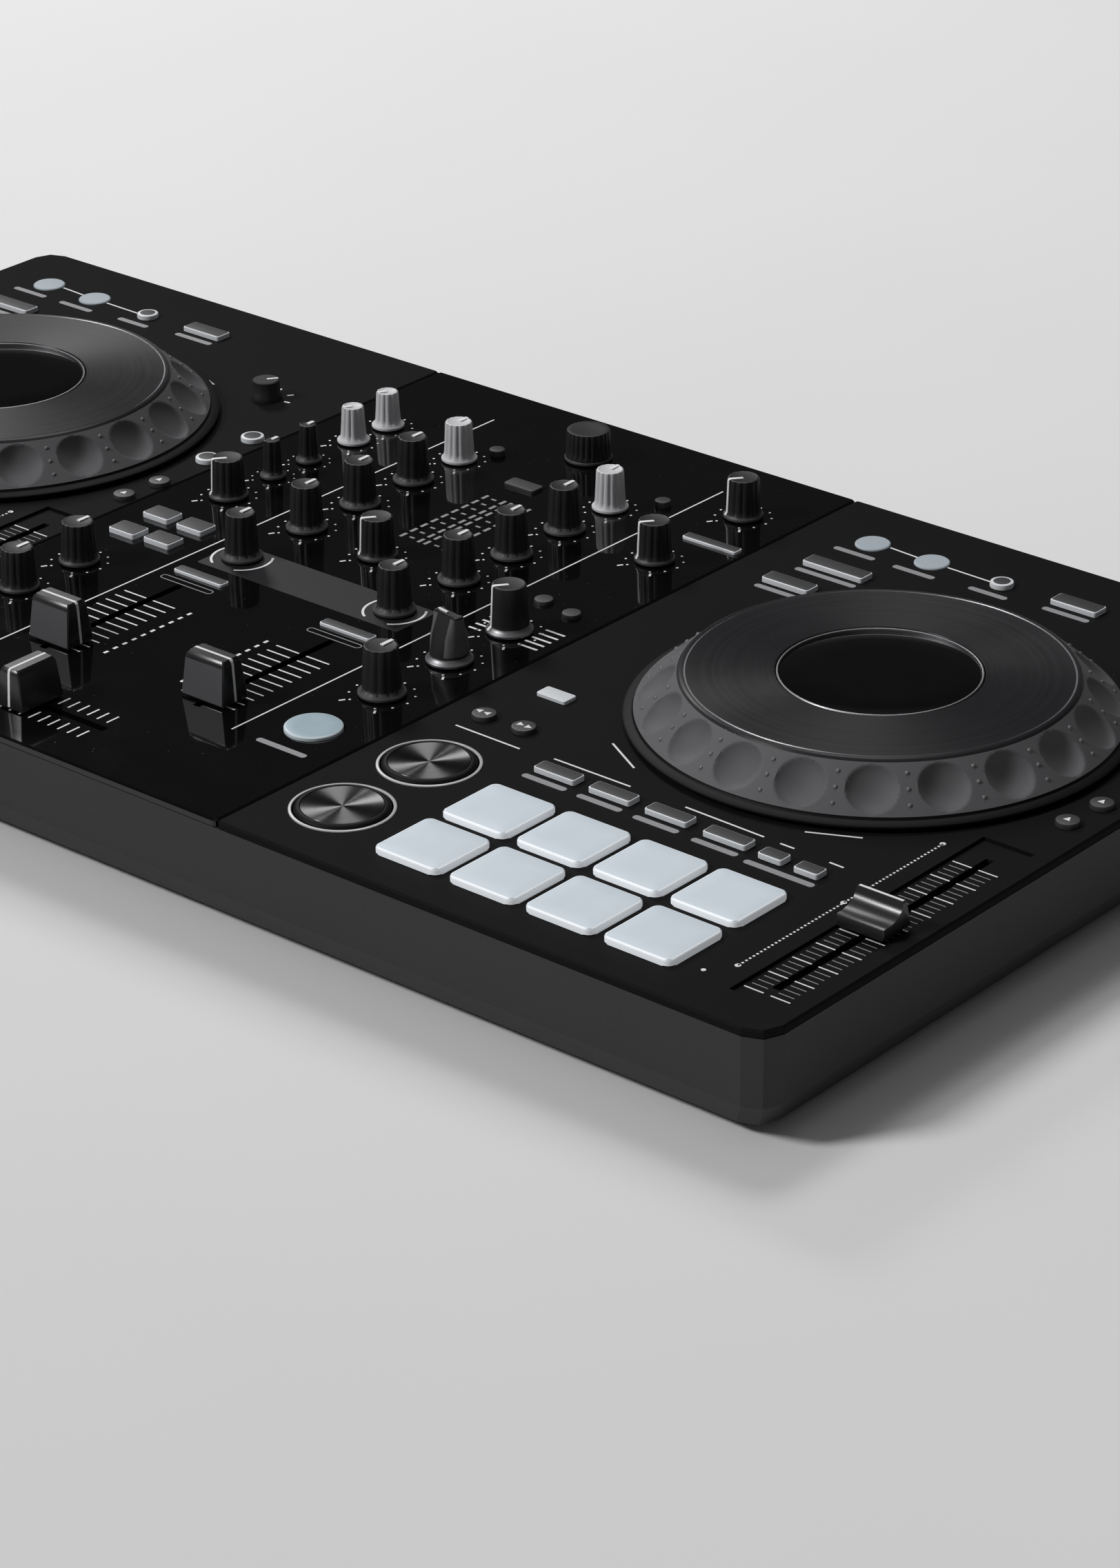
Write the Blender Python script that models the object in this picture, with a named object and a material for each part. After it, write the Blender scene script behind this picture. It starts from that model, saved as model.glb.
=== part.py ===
"""A two-deck music controller: case, panels, board, jog wheels, pads, buttons, faders and knobs.

Metres, +Z up.

The origin is on the table under the middle of the case. X runs along the front edge, Y towards the back.
"""

import math

import bmesh
import bpy
from mathutils import Matrix

# Heights of the case, from the table up
FOOT_HEIGHT = 0.004
FOOT_RADIUS = 0.011
FOOT_INSET = 0.042
CASE_FLOOR = 0.0025
CASE_WALL = 0.003
CASE_CORNER = 0.009
CASE_TUCK = 0.006
CASE_TUCK_HEIGHT = 0.010
CASE_WALL_HEIGHT = 0.0332
PANEL_THICKNESS = 0.0025
PANEL_EDGE = 0.0007
SEAM_CORNER = 0.0014

# Clearances: between pieces at rest on each other, and round pieces that move
SEAT_GAP = 0.0003
RUN_GAP = 0.0004

# Circuit board, hung under the panels on posts that stand on the case floor
BOARD_DROP = 0.010
BOARD_THICKNESS = 0.0016
BOARD_INSET = 0.019
POST_RADIUS = 0.004
POST_INSET = 0.045

# Socket plate in the back wall
JACK_PLATE_WIDTH = 0.300
JACK_PLATE_HEIGHT = 0.021
JACK_PLATE_DEPTH = 0.013
JACK_PLATE_DROP = 0.0022
SOCKET_DEPTH = 0.010
PHONO_RADIUS = 0.0042
PHONO_PITCH = 0.019
PHONO_START = 0.016
JACK_RADIUS = 0.0034
JACK_PITCH = 0.024
JACK_START = 0.126
USB_WIDTH = 0.0090
USB_HEIGHT = 0.0080
USB_PLACE = 0.240

# Steps across one deck, from its left edge to its right edge
DECK_LEFT_MARGIN = 0.0246
LEFT_DECK_RIGHT_MARGIN = 0.01155
RIGHT_DECK_RIGHT_MARGIN = 0.01665
CUE_TO_PADS = 0.0408
CUE_TO_JOG = 0.0908
PAD_PITCH_X = 0.0306
PADS_TO_TEMPO = 0.04415

# Steps up a deck, from its front edge to its back edge
FRONT_TO_PADS = 0.02825
PAD_PITCH_Y = 0.0313
PADS_TO_JOG = 0.13105
JOG_TO_BACK = 0.1404
FRONT_TO_CUE = 0.0315
CUE_TO_PLAY = 0.0410
FRONT_TO_TEMPO = 0.0796

# Pads
PAD_COLUMNS = 4
PAD_ROWS = 2
PAD_SIDE = 0.0265
PAD_CORNER = 0.0028
PAD_RISE = 0.0022
PAD_CHAMFER = 0.0006
PAD_LIP = 0.001
PAD_LIP_THICKNESS = 0.0014
PAD_CORNER_STEPS = 1

# Round transport buttons, and the lit one in the mixer
TRANSPORT_RADIUS = 0.0155
TRANSPORT_RISE = 0.0020
TRANSPORT_DISH = 0.0005
BUTTON_RIM_SHARE = 0.85
EFFECT_BUTTON_RADIUS = 0.0098

# Jog wheel: a hollow cone-sided wheel that turns on the post of its fixed display
JOG_PLATE_RADIUS = 0.0651
JOG_CONE_RADIUS = 0.0801
JOG_CONE_FOOT = 0.0040
JOG_SKIRT_RADIUS = 0.0836
JOG_HEIGHT = 0.0170
JOG_SKIRT_HEIGHT = 0.0026
JOG_FLOAT = 0.0012
JOG_SHELL = 0.0024
JOG_RIM_DROP = 0.0009
JOG_HUB_WALL = 0.003
JOG_STEPS = 48
DIMPLE_COUNT = 20
DIMPLE_PHASE = math.radians(-1)
DIMPLE_RADIUS = 0.0084
DIMPLE_DEPTH = 0.0022
DIMPLE_STEPS = 8
DIMPLE_FLARE = 1.3
DIMPLE_WAIST = 0.6
DIMPLE_WAIST_DEPTH = 0.75
DISPLAY_RADIUS = 0.0338
DISPLAY_THICKNESS = 0.003
DISPLAY_POST_RADIUS = 0.0076

# Faders: a saddle cap on a thin lever that runs in a slot
SLOT_WIDTH = 0.0030
LEVER_LENGTH = 0.0060
CHANNEL_TRAVEL = 0.060
CHANNEL_CAP = (0.0192, 0.0122, 0.0160)
CHANNEL_REST = 0.0057
CROSS_TRAVEL = 0.045
CROSS_CAP = (0.0192, 0.0122, 0.0145)
CROSS_REST = 0.0135
TEMPO_TRAVEL = 0.100
TEMPO_CAP = (0.0176, 0.0140, 0.0102)
TEMPO_REST = 0.0439
TEMPO_RECESS_WIDTH = 0.0193
TEMPO_RECESS_DEPTH = 0.0011
CAP_LIFT = 0.0008
CAP_LEAN = 0.0019
CAP_EDGE = 0.0007
LEVER_SUNK = 0.002
TEMPO_LIP = 0.0046
TEMPO_LIP_DEPTH = 0.0026
TEMPO_RIDGE = 0.0018
TEMPO_RIDGE_SETBACK = 0.0024
SCOOP_STEPS = 5
TEMPO_RECESS_SPARE = 0.0266

# Steps across the mixer, from its left edge, and rows down from its back edge
MIXER_LEFT_MARGIN = 0.0230
STRIP_TO_CHANNEL_1 = 0.0420
CHANNEL_1_TO_CENTRE = 0.0360
CENTRE_TO_CHANNEL_2 = 0.0360
CHANNEL_2_TO_STRIP = 0.0415
MIXER_RIGHT_MARGIN = 0.0220
BACK_TO_TRIM = 0.0623
TRIM_TO_HIGH = 0.0252
HIGH_TO_MID = 0.0287
MID_TO_LOW = 0.0280
LOW_TO_COLOUR = 0.0333
FRONT_TO_CROSSFADER = 0.0245
FRONT_TO_CHANNEL_SLOT = 0.0595

# Rows of the two side strips and the middle, down from the back edge
MIC_1_ROW = 0.0548
MIC_2_ROW = 0.0738
MIC_HIGH_ROW = 0.0981
MIC_LOW_ROW = 0.1172
SAMPLER_ROW = 0.1405
PHONES_MIX_ROW = 0.2158
PHONES_LEVEL_ROW = 0.2450
BROWSE_ROW = 0.0315
CENTRE_KNOB_ROW = 0.1465
MASTER_ROW = 0.0380
BOOTH_ROW = 0.0879
EFFECT_CHANNEL_ROW = 0.1653
EFFECT_SELECT_ROW = 0.1960
EFFECT_LEVEL_ROW = 0.2296
EFFECT_ON_ROW = 0.2627

# Knobs: height over the panel, top radius, radius over the flange, flange radius, flutes
TONE_KNOB = (0.0175, 0.0054, 0.0060, 0.0075, 7)
TRIM_KNOB = (0.0155, 0.0050, 0.0055, 0.0066, 7)
SMALL_KNOB = (0.0145, 0.0041, 0.0047, 0.0061, 6)
THIN_KNOB = (0.0150, 0.0022, 0.0026, 0.0048, 6)
LEVEL_KNOB = (0.0155, 0.0058, 0.0062, 0.0072, 7)
EFFECT_KNOB = (0.0180, 0.0060, 0.0066, 0.0082, 7)
SMOOTH_KNOB = (0.0180, 0.0060, 0.0066, 0.0082, 0)
POINTER_BLADE = 0.0034
POINTER_CHEEK_LOW = 0.0046
POINTER_REST = math.radians(80)
BROWSE_KNOB = (0.0120, 0.0080, 0.0083, 0.0088, 10)
FLUTE_DEPTH = 0.0004
KNOB_CHAMFER = 0.0007
FLANGE_THICKNESS = 0.0012
FLANGE_SLOPE = 0.0016
KNOB_LIFT = 0.0005
SHAFT_RADIUS = 0.0017

# Sizes that follow from those above
LEFT_DECK_WIDTH = (DECK_LEFT_MARGIN + CUE_TO_PADS + (PAD_COLUMNS - 1) * PAD_PITCH_X
                   + PADS_TO_TEMPO + LEFT_DECK_RIGHT_MARGIN)
RIGHT_DECK_WIDTH = (DECK_LEFT_MARGIN + CUE_TO_PADS + (PAD_COLUMNS - 1) * PAD_PITCH_X
                    + PADS_TO_TEMPO + RIGHT_DECK_RIGHT_MARGIN)
MIXER_WIDTH = (MIXER_LEFT_MARGIN + STRIP_TO_CHANNEL_1 + CHANNEL_1_TO_CENTRE + CENTRE_TO_CHANNEL_2
               + CHANNEL_2_TO_STRIP + MIXER_RIGHT_MARGIN)
CASE_WIDTH = LEFT_DECK_WIDTH + MIXER_WIDTH + RIGHT_DECK_WIDTH
CASE_DEPTH = FRONT_TO_PADS + (PAD_ROWS - 1) * PAD_PITCH_Y + PADS_TO_JOG + JOG_TO_BACK
LEFT_EDGE = -CASE_WIDTH / 2
RIGHT_EDGE = CASE_WIDTH / 2
FRONT_EDGE = -CASE_DEPTH / 2
BACK_EDGE = CASE_DEPTH / 2
MIXER_LEFT = LEFT_EDGE + LEFT_DECK_WIDTH
MIXER_RIGHT = MIXER_LEFT + MIXER_WIDTH
CASE_TOP = FOOT_HEIGHT + CASE_WALL_HEIGHT
PANEL_UNDER = CASE_TOP + SEAT_GAP
PANEL_TOP = PANEL_UNDER + PANEL_THICKNESS
BOARD_TOP = PANEL_TOP - BOARD_DROP
BOARD_UNDER = BOARD_TOP - BOARD_THICKNESS
SHAFT_END = BOARD_TOP + SEAT_GAP
JOG_ROW = BACK_EDGE - JOG_TO_BACK
STRIP_LEFT_X = MIXER_LEFT + MIXER_LEFT_MARGIN
CHANNEL_1_X = STRIP_LEFT_X + STRIP_TO_CHANNEL_1
CENTRE_X = CHANNEL_1_X + CHANNEL_1_TO_CENTRE
CHANNEL_2_X = CENTRE_X + CENTRE_TO_CHANNEL_2
STRIP_RIGHT_X = CHANNEL_2_X + CHANNEL_2_TO_STRIP
JACK_PLATE_LEFT = -JACK_PLATE_WIDTH / 2
JACK_PLATE_MIDDLE = CASE_TOP - JACK_PLATE_DROP - JACK_PLATE_HEIGHT / 2
LEFT_DECK = {"name": "left", "cue_x": LEFT_EDGE + DECK_LEFT_MARGIN}
RIGHT_DECK = {"name": "right", "cue_x": MIXER_RIGHT + DECK_LEFT_MARGIN}
HOLE_STEPS = 8
SOCKET_STEPS = 12
SMOOTH_STEPS = 16
ROUND_STEPS = 24

# Channel knobs, each with its distance from the back edge, and the shape it has
CHANNEL_ROWS = (
    ("trim", BACK_TO_TRIM, TRIM_KNOB),
    ("high", BACK_TO_TRIM + TRIM_TO_HIGH, TONE_KNOB),
    ("mid", BACK_TO_TRIM + TRIM_TO_HIGH + HIGH_TO_MID, TONE_KNOB),
    ("low", BACK_TO_TRIM + TRIM_TO_HIGH + HIGH_TO_MID + MID_TO_LOW, TONE_KNOB),
    ("colour", BACK_TO_TRIM + TRIM_TO_HIGH + HIGH_TO_MID + MID_TO_LOW + LOW_TO_COLOUR, TONE_KNOB),
)
STRIP_KNOBS = (
    ("mic_1_level_knob", STRIP_LEFT_X, MIC_1_ROW, SMALL_KNOB),
    ("mic_2_level_knob", STRIP_LEFT_X, MIC_2_ROW, SMALL_KNOB),
    ("mic_high_knob", STRIP_LEFT_X, MIC_HIGH_ROW, THIN_KNOB),
    ("mic_low_knob", STRIP_LEFT_X, MIC_LOW_ROW, THIN_KNOB),
    ("sampler_level_knob", STRIP_LEFT_X, SAMPLER_ROW, LEVEL_KNOB),
    ("headphone_mix_knob", STRIP_LEFT_X, PHONES_MIX_ROW, LEVEL_KNOB),
    ("headphone_level_knob", STRIP_LEFT_X, PHONES_LEVEL_ROW, LEVEL_KNOB),
    ("browse_knob", CENTRE_X, BROWSE_ROW, BROWSE_KNOB),
    ("centre_level_knob", CENTRE_X, CENTRE_KNOB_ROW, LEVEL_KNOB),
    ("master_level_knob", STRIP_RIGHT_X, MASTER_ROW, LEVEL_KNOB),
    ("booth_level_knob", STRIP_RIGHT_X, BOOTH_ROW, LEVEL_KNOB),
    ("effect_channel_knob", STRIP_RIGHT_X, EFFECT_CHANNEL_ROW, SMOOTH_KNOB),
    ("effect_select_knob", STRIP_RIGHT_X, EFFECT_SELECT_ROW, SMOOTH_KNOB),
    ("effect_level_knob", STRIP_RIGHT_X, EFFECT_LEVEL_ROW, EFFECT_KNOB),
)


def clear_scene():
    for thing in list(bpy.data.objects):
        bpy.data.objects.remove(thing)


def material(name, colour, roughness, metallic=0.0):
    made = bpy.data.materials.new(name)
    made.use_nodes = True
    shader = made.node_tree.nodes["Principled BSDF"]
    shader.inputs["Base Color"].default_value = (*colour, 1.0)
    shader.inputs["Roughness"].default_value = roughness
    shader.inputs["Metallic"].default_value = metallic
    return made


def piece(name, shape, finish, location=(0, 0, 0), turn=0.0):
    """One named object from a bmesh, with its origin at the given place."""
    bmesh.ops.recalc_face_normals(shape, faces=shape.faces)
    mesh = bpy.data.meshes.new(name)
    shape.to_mesh(mesh)
    shape.free()
    mesh.shade_smooth()
    mesh.set_sharp_from_angle(angle=math.radians(30))
    made = bpy.data.objects.new(name, mesh)
    made.location = location
    made.rotation_euler.z = turn
    if finish:
        mesh.materials.append(finish)
    bpy.context.scene.collection.objects.link(made)
    return made


def combine(target, operation, shapes, name):
    """Joins the shapes into one hidden helper and adds it to, or cuts it from, the target."""
    whole = bmesh.new()
    for shape in shapes:
        loose = bpy.data.meshes.new(name)
        bmesh.ops.recalc_face_normals(shape, faces=shape.faces)
        shape.to_mesh(loose)
        shape.free()
        whole.from_mesh(loose)
        bpy.data.meshes.remove(loose)
    helper = piece(name, whole, None, target.location, target.rotation_euler.z)
    helper.hide_render = True
    helper.display_type = "WIRE"
    boolean = target.modifiers.new(name, "BOOLEAN")
    boolean.operation = operation
    boolean.object = helper
    boolean.solver = "EXACT"


def rounded_rectangle(width, depth, corner, steps=2, left_corner=None):
    """A rectangle with rounded corners; those on the left can have a radius of their own."""
    points = []
    right_corner = corner
    for index, (sx, sy) in enumerate(((1, 1), (-1, 1), (-1, -1), (1, -1))):
        corner = right_corner if sx > 0 or left_corner is None else left_corner
        for step in range(steps + 1):
            angle = (index + step / steps) * math.pi / 2
            x = sx * (width / 2 - corner) + corner * math.cos(angle)
            y = sy * (depth / 2 - corner) + corner * math.sin(angle)
            points.append((x, y))
    return points


def circle(radius, steps):
    return [(radius * math.cos(2 * math.pi * step / steps), radius * math.sin(2 * math.pi * step / steps))
            for step in range(steps)]


def loft(outlines, centre=(0, 0)):
    """A closed solid through outlines of (points, height), each with as many points as the next."""
    shape = bmesh.new()
    loops = [[shape.verts.new((centre[0] + x, centre[1] + y, height)) for x, y in points]
             for points, height in outlines]
    for lower, upper in zip(loops, loops[1:]):
        for step in range(len(lower)):
            after = (step + 1) % len(lower)
            shape.faces.new((lower[step], lower[after], upper[after], upper[step]))
    shape.faces.new(loops[0])
    shape.faces.new(loops[-1])
    return shape


def turned(profile, steps, flutes=(), closed=False, centre=(0, 0)):
    """A profile of (radius, height) turned about Z. Every second step of a fluted point is drawn in."""
    shape = bmesh.new()
    rings = []
    for index, (radius, height) in enumerate(profile):
        if radius == 0:
            rings.append([shape.verts.new((*centre, height))])
            continue
        inner = radius - FLUTE_DEPTH if index in flutes else radius
        points = [(near if step % 2 == 0 else far) for step, (near, far)
                  in enumerate(zip(circle(radius, steps), circle(inner, steps)))]
        rings.append([shape.verts.new((centre[0] + x, centre[1] + y, height)) for x, y in points])
    pairs = list(zip(rings, rings[1:]))
    if closed:
        pairs.append((rings[-1], rings[0]))
    for upper, lower in pairs:
        for step in range(steps):
            after = (step + 1) % steps
            corners = [upper[step % len(upper)], lower[step % len(lower)],
                       lower[after % len(lower)], upper[after % len(upper)]]
            shape.faces.new(list(dict.fromkeys(corners)))
    return shape


def bar(width, depth, low, high, centre=(0, 0)):
    corners = [(sx * width / 2, sy * depth / 2) for sx, sy in ((-1, -1), (1, -1), (1, 1), (-1, 1))]
    return loft([(corners, low), (corners, high)], centre)


def round_hole(radius, centre):
    outline = circle(radius / math.cos(math.pi / HOLE_STEPS), HOLE_STEPS)
    return loft([(outline, PANEL_UNDER - PANEL_THICKNESS), (outline, PANEL_TOP + PANEL_THICKNESS)], centre)


def button_hole(radius, centre):
    outline = circle(radius / math.cos(math.pi / ROUND_STEPS), ROUND_STEPS)
    return loft([(outline, PANEL_UNDER - PANEL_THICKNESS), (outline, PANEL_TOP + PANEL_THICKNESS)], centre)


def slot(width, depth, centre):
    return bar(width, depth, PANEL_UNDER - PANEL_THICKNESS, PANEL_TOP + PANEL_THICKNESS, centre)


def deck_places(deck):
    """Where the controls of one deck stand."""
    cue_x = deck["cue_x"]
    first_x = cue_x + CUE_TO_PADS
    front_row = FRONT_EDGE + FRONT_TO_PADS
    pads = [(first_x + column * PAD_PITCH_X, front_row + row * PAD_PITCH_Y)
            for row in reversed(range(PAD_ROWS)) for column in range(PAD_COLUMNS)]
    return {
        "pads": pads,
        "cue": (cue_x, FRONT_EDGE + FRONT_TO_CUE),
        "play": (cue_x, FRONT_EDGE + FRONT_TO_CUE + CUE_TO_PLAY),
        "jog": (cue_x + CUE_TO_JOG, JOG_ROW),
        "tempo": (first_x + (PAD_COLUMNS - 1) * PAD_PITCH_X + PADS_TO_TEMPO, FRONT_EDGE + FRONT_TO_TEMPO),
    }


def bottom_case(finish):
    """An open tray with drawn-in lower walls, board posts, feet and a window for the sockets."""
    base = FOOT_HEIGHT
    outline = rounded_rectangle(CASE_WIDTH, CASE_DEPTH, CASE_CORNER)
    tucked = rounded_rectangle(CASE_WIDTH - 2 * CASE_TUCK, CASE_DEPTH - 2 * CASE_TUCK, CASE_CORNER)
    inner_corner = CASE_CORNER - CASE_WALL
    inside = rounded_rectangle(CASE_WIDTH - 2 * CASE_WALL, CASE_DEPTH - 2 * CASE_WALL, inner_corner)
    inset = CASE_TUCK + CASE_WALL
    floor = rounded_rectangle(CASE_WIDTH - 2 * inset, CASE_DEPTH - 2 * inset, inner_corner)
    tray = piece("bottom_case", loft([
        (tucked, base), (outline, base + CASE_TUCK_HEIGHT), (outline, CASE_TOP),
        (inside, CASE_TOP), (inside, base + CASE_TUCK_HEIGHT + CASE_FLOOR),
        (floor, base + CASE_FLOOR)]), finish)
    corners = [(sx, sy) for sx in (-1, 1) for sy in (-1, 1)]
    sunk = base + CASE_FLOOR / 2
    feet = [turned([(0, sunk), (FOOT_RADIUS, sunk), (FOOT_RADIUS, base - FOOT_HEIGHT / 2),
                    (FOOT_RADIUS - FOOT_HEIGHT / 2, 0), (0, 0)], SOCKET_STEPS,
                   centre=(sx * (CASE_WIDTH / 2 - FOOT_INSET), sy * (CASE_DEPTH / 2 - FOOT_INSET)))
            for sx, sy in corners]
    post_x = CASE_WIDTH / 2 - POST_INSET
    post_y = CASE_DEPTH / 2 - POST_INSET
    post_places = [(x, sy * post_y) for x in (-post_x, MIXER_LEFT, MIXER_RIGHT, post_x) for sy in (-1, 1)]
    post = circle(POST_RADIUS, HOLE_STEPS)
    posts = [loft([(post, sunk), (post, BOARD_UNDER - SEAT_GAP)], place) for place in post_places]
    combine(tray, "UNION", feet + posts, "case_feet_and_posts")
    half_window = JACK_PLATE_HEIGHT / 2 + SEAT_GAP
    window = bar(JACK_PLATE_WIDTH + 2 * SEAT_GAP, 4 * CASE_WALL, JACK_PLATE_MIDDLE - half_window,
                 JACK_PLATE_MIDDLE + half_window, (0, BACK_EDGE))
    combine(tray, "DIFFERENCE", [window], "case_socket_window")


def rear_jack_plate(finish):
    """The block that fills the window in the back wall, with its sockets sunk in from behind."""
    low = JACK_PLATE_MIDDLE - JACK_PLATE_HEIGHT / 2
    high = JACK_PLATE_MIDDLE + JACK_PLATE_HEIGHT / 2
    middle_y = BACK_EDGE - JACK_PLATE_DEPTH / 2
    solid = bar(JACK_PLATE_WIDTH, JACK_PLATE_DEPTH, low, high, (0, middle_y))
    block = piece("rear_jack_plate", solid, finish)
    sockets = []
    places = [(PHONO_START + index * PHONO_PITCH, PHONO_RADIUS) for index in range(4)]
    places += [(JACK_START + index * JACK_PITCH, JACK_RADIUS) for index in range(3)]
    lie_down = Matrix.Rotation(math.radians(-90), 4, "X")
    for along, radius in places:
        outline = circle(radius, SOCKET_STEPS)
        hole = loft([(outline, -SOCKET_DEPTH), (outline, SOCKET_DEPTH)])
        stand = Matrix.Translation((JACK_PLATE_LEFT + along, BACK_EDGE, JACK_PLATE_MIDDLE))
        bmesh.ops.transform(hole, matrix=stand @ lie_down, verts=hole.verts)
        sockets.append(hole)
    sockets.append(bar(USB_WIDTH, 2 * SOCKET_DEPTH, JACK_PLATE_MIDDLE - USB_HEIGHT / 2,
                       JACK_PLATE_MIDDLE + USB_HEIGHT / 2, (JACK_PLATE_LEFT + USB_PLACE, BACK_EDGE)))
    combine(block, "DIFFERENCE", sockets, "jack_plate_sockets")


def main_board(finish):
    outline = rounded_rectangle(CASE_WIDTH - 2 * BOARD_INSET, CASE_DEPTH - 2 * BOARD_INSET, CASE_CORNER)
    piece("main_board", loft([(outline, BOARD_UNDER), (outline, BOARD_TOP)]), finish)


def plate(name, left, right, finish, left_corner, right_corner):
    """A flat panel from the front to the back of the case, with a small chamfer round its top."""
    width = right - left
    outline = rounded_rectangle(width, CASE_DEPTH, right_corner, left_corner=left_corner)
    chamfered = rounded_rectangle(width - 2 * PANEL_EDGE, CASE_DEPTH - 2 * PANEL_EDGE,
                                  right_corner - PANEL_EDGE, left_corner=left_corner - PANEL_EDGE)
    shape = loft([(outline, PANEL_UNDER), (outline, PANEL_TOP - PANEL_EDGE), (chamfered, PANEL_TOP)],
                 ((left + right) / 2, 0))
    return piece(name, shape, finish)


def deck_panel(deck, left, right, finish):
    places = deck_places(deck)
    left_corner = CASE_CORNER if deck is LEFT_DECK else SEAM_CORNER
    right_corner = CASE_CORNER if deck is RIGHT_DECK else SEAM_CORNER
    panel = plate(f"{deck['name']}_deck_panel", left, right, finish, left_corner, right_corner)
    buttons = (places["cue"], places["play"])
    recess = bar(TEMPO_RECESS_WIDTH, TEMPO_TRAVEL + TEMPO_RECESS_SPARE, PANEL_TOP - TEMPO_RECESS_DEPTH,
                 PANEL_TOP + PANEL_THICKNESS, places["tempo"])
    combine(panel, "DIFFERENCE", [recess], f"{deck['name']}_tempo_recess")
    opening = PAD_SIDE + 2 * RUN_GAP
    pad_outline = rounded_rectangle(opening, opening, PAD_CORNER + RUN_GAP, PAD_CORNER_STEPS)
    ends = [(pad_outline, PANEL_UNDER - PANEL_THICKNESS), (pad_outline, PANEL_TOP + PANEL_THICKNESS)]
    holes = [loft(ends, place) for place in places["pads"]]
    holes += [button_hole(TRANSPORT_RADIUS + RUN_GAP, place) for place in buttons]
    holes.append(round_hole(DISPLAY_POST_RADIUS + RUN_GAP, places["jog"]))
    holes.append(slot(SLOT_WIDTH, TEMPO_TRAVEL + LEVER_LENGTH + 2 * RUN_GAP, places["tempo"]))
    combine(panel, "DIFFERENCE", holes, f"{deck['name']}_panel_holes")


def mixer_panel(finish):
    panel = plate("mixer_panel", MIXER_LEFT + SEAT_GAP, MIXER_RIGHT - SEAT_GAP, finish,
                  SEAM_CORNER, SEAM_CORNER)
    effect_place = (STRIP_RIGHT_X, BACK_EDGE - EFFECT_ON_ROW)
    knob_places = [(x, BACK_EDGE - row) for x in (CHANNEL_1_X, CHANNEL_2_X) for _, row, _ in CHANNEL_ROWS]
    knob_places += [(x, BACK_EDGE - row) for _, x, row, _ in STRIP_KNOBS]
    holes = [round_hole(SHAFT_RADIUS + RUN_GAP, place) for place in knob_places]
    holes.append(button_hole(EFFECT_BUTTON_RADIUS + RUN_GAP, effect_place))
    channel_length = CHANNEL_TRAVEL + LEVER_LENGTH + 2 * RUN_GAP
    channel_middle = FRONT_EDGE + FRONT_TO_CHANNEL_SLOT + CHANNEL_TRAVEL / 2
    holes += [slot(SLOT_WIDTH, channel_length, (x, channel_middle)) for x in (CHANNEL_1_X, CHANNEL_2_X)]
    cross_length = CROSS_TRAVEL + LEVER_LENGTH + 2 * RUN_GAP
    holes.append(slot(cross_length, SLOT_WIDTH, (CENTRE_X, FRONT_EDGE + FRONT_TO_CROSSFADER)))
    combine(panel, "DIFFERENCE", holes, "mixer_panel_holes")


def jog_display(deck, finish):
    """The fixed round display and the post that carries it and guides the wheel."""
    x, y = deck_places(deck)["jog"]
    top = JOG_HEIGHT
    under = top - DISPLAY_THICKNESS
    end = SHAFT_END - PANEL_TOP
    profile = [(0, top), (DISPLAY_RADIUS - PANEL_EDGE, top), (DISPLAY_RADIUS, top - PANEL_EDGE),
               (DISPLAY_RADIUS, under), (DISPLAY_POST_RADIUS, under), (DISPLAY_POST_RADIUS, end), (0, end)]
    piece(f"{deck['name']}_jog_display", turned(profile, ROUND_STEPS), finish, (x, y, PANEL_TOP))


def dimple_cutters():
    """Lens-shaped cutters set square to the cone, each leaving a shallow round hollow in the rubber side."""
    run = JOG_CONE_RADIUS - JOG_PLATE_RADIUS
    rise = JOG_HEIGHT - JOG_CONE_FOOT
    lean = Matrix.Rotation(math.atan2(rise, run), 4, "Y")
    middle_radius = (JOG_CONE_RADIUS + JOG_PLATE_RADIUS) / 2
    middle = Matrix.Translation((middle_radius, 0, (JOG_HEIGHT + JOG_CONE_FOOT) / 2))
    lens = [(0, DIMPLE_DEPTH), (DIMPLE_RADIUS * DIMPLE_FLARE, DIMPLE_DEPTH), (DIMPLE_RADIUS, 0),
            (DIMPLE_RADIUS * DIMPLE_WAIST, -DIMPLE_DEPTH * DIMPLE_WAIST_DEPTH), (0, -DIMPLE_DEPTH)]
    cutters = []
    for index in range(DIMPLE_COUNT):
        cutter = turned(lens, DIMPLE_STEPS)
        swing = Matrix.Rotation(DIMPLE_PHASE + 2 * math.pi * index / DIMPLE_COUNT, 4, "Z")
        bmesh.ops.transform(cutter, matrix=swing @ middle @ lean, verts=cutter.verts)
        cutters.append(cutter)
    return cutters


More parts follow.
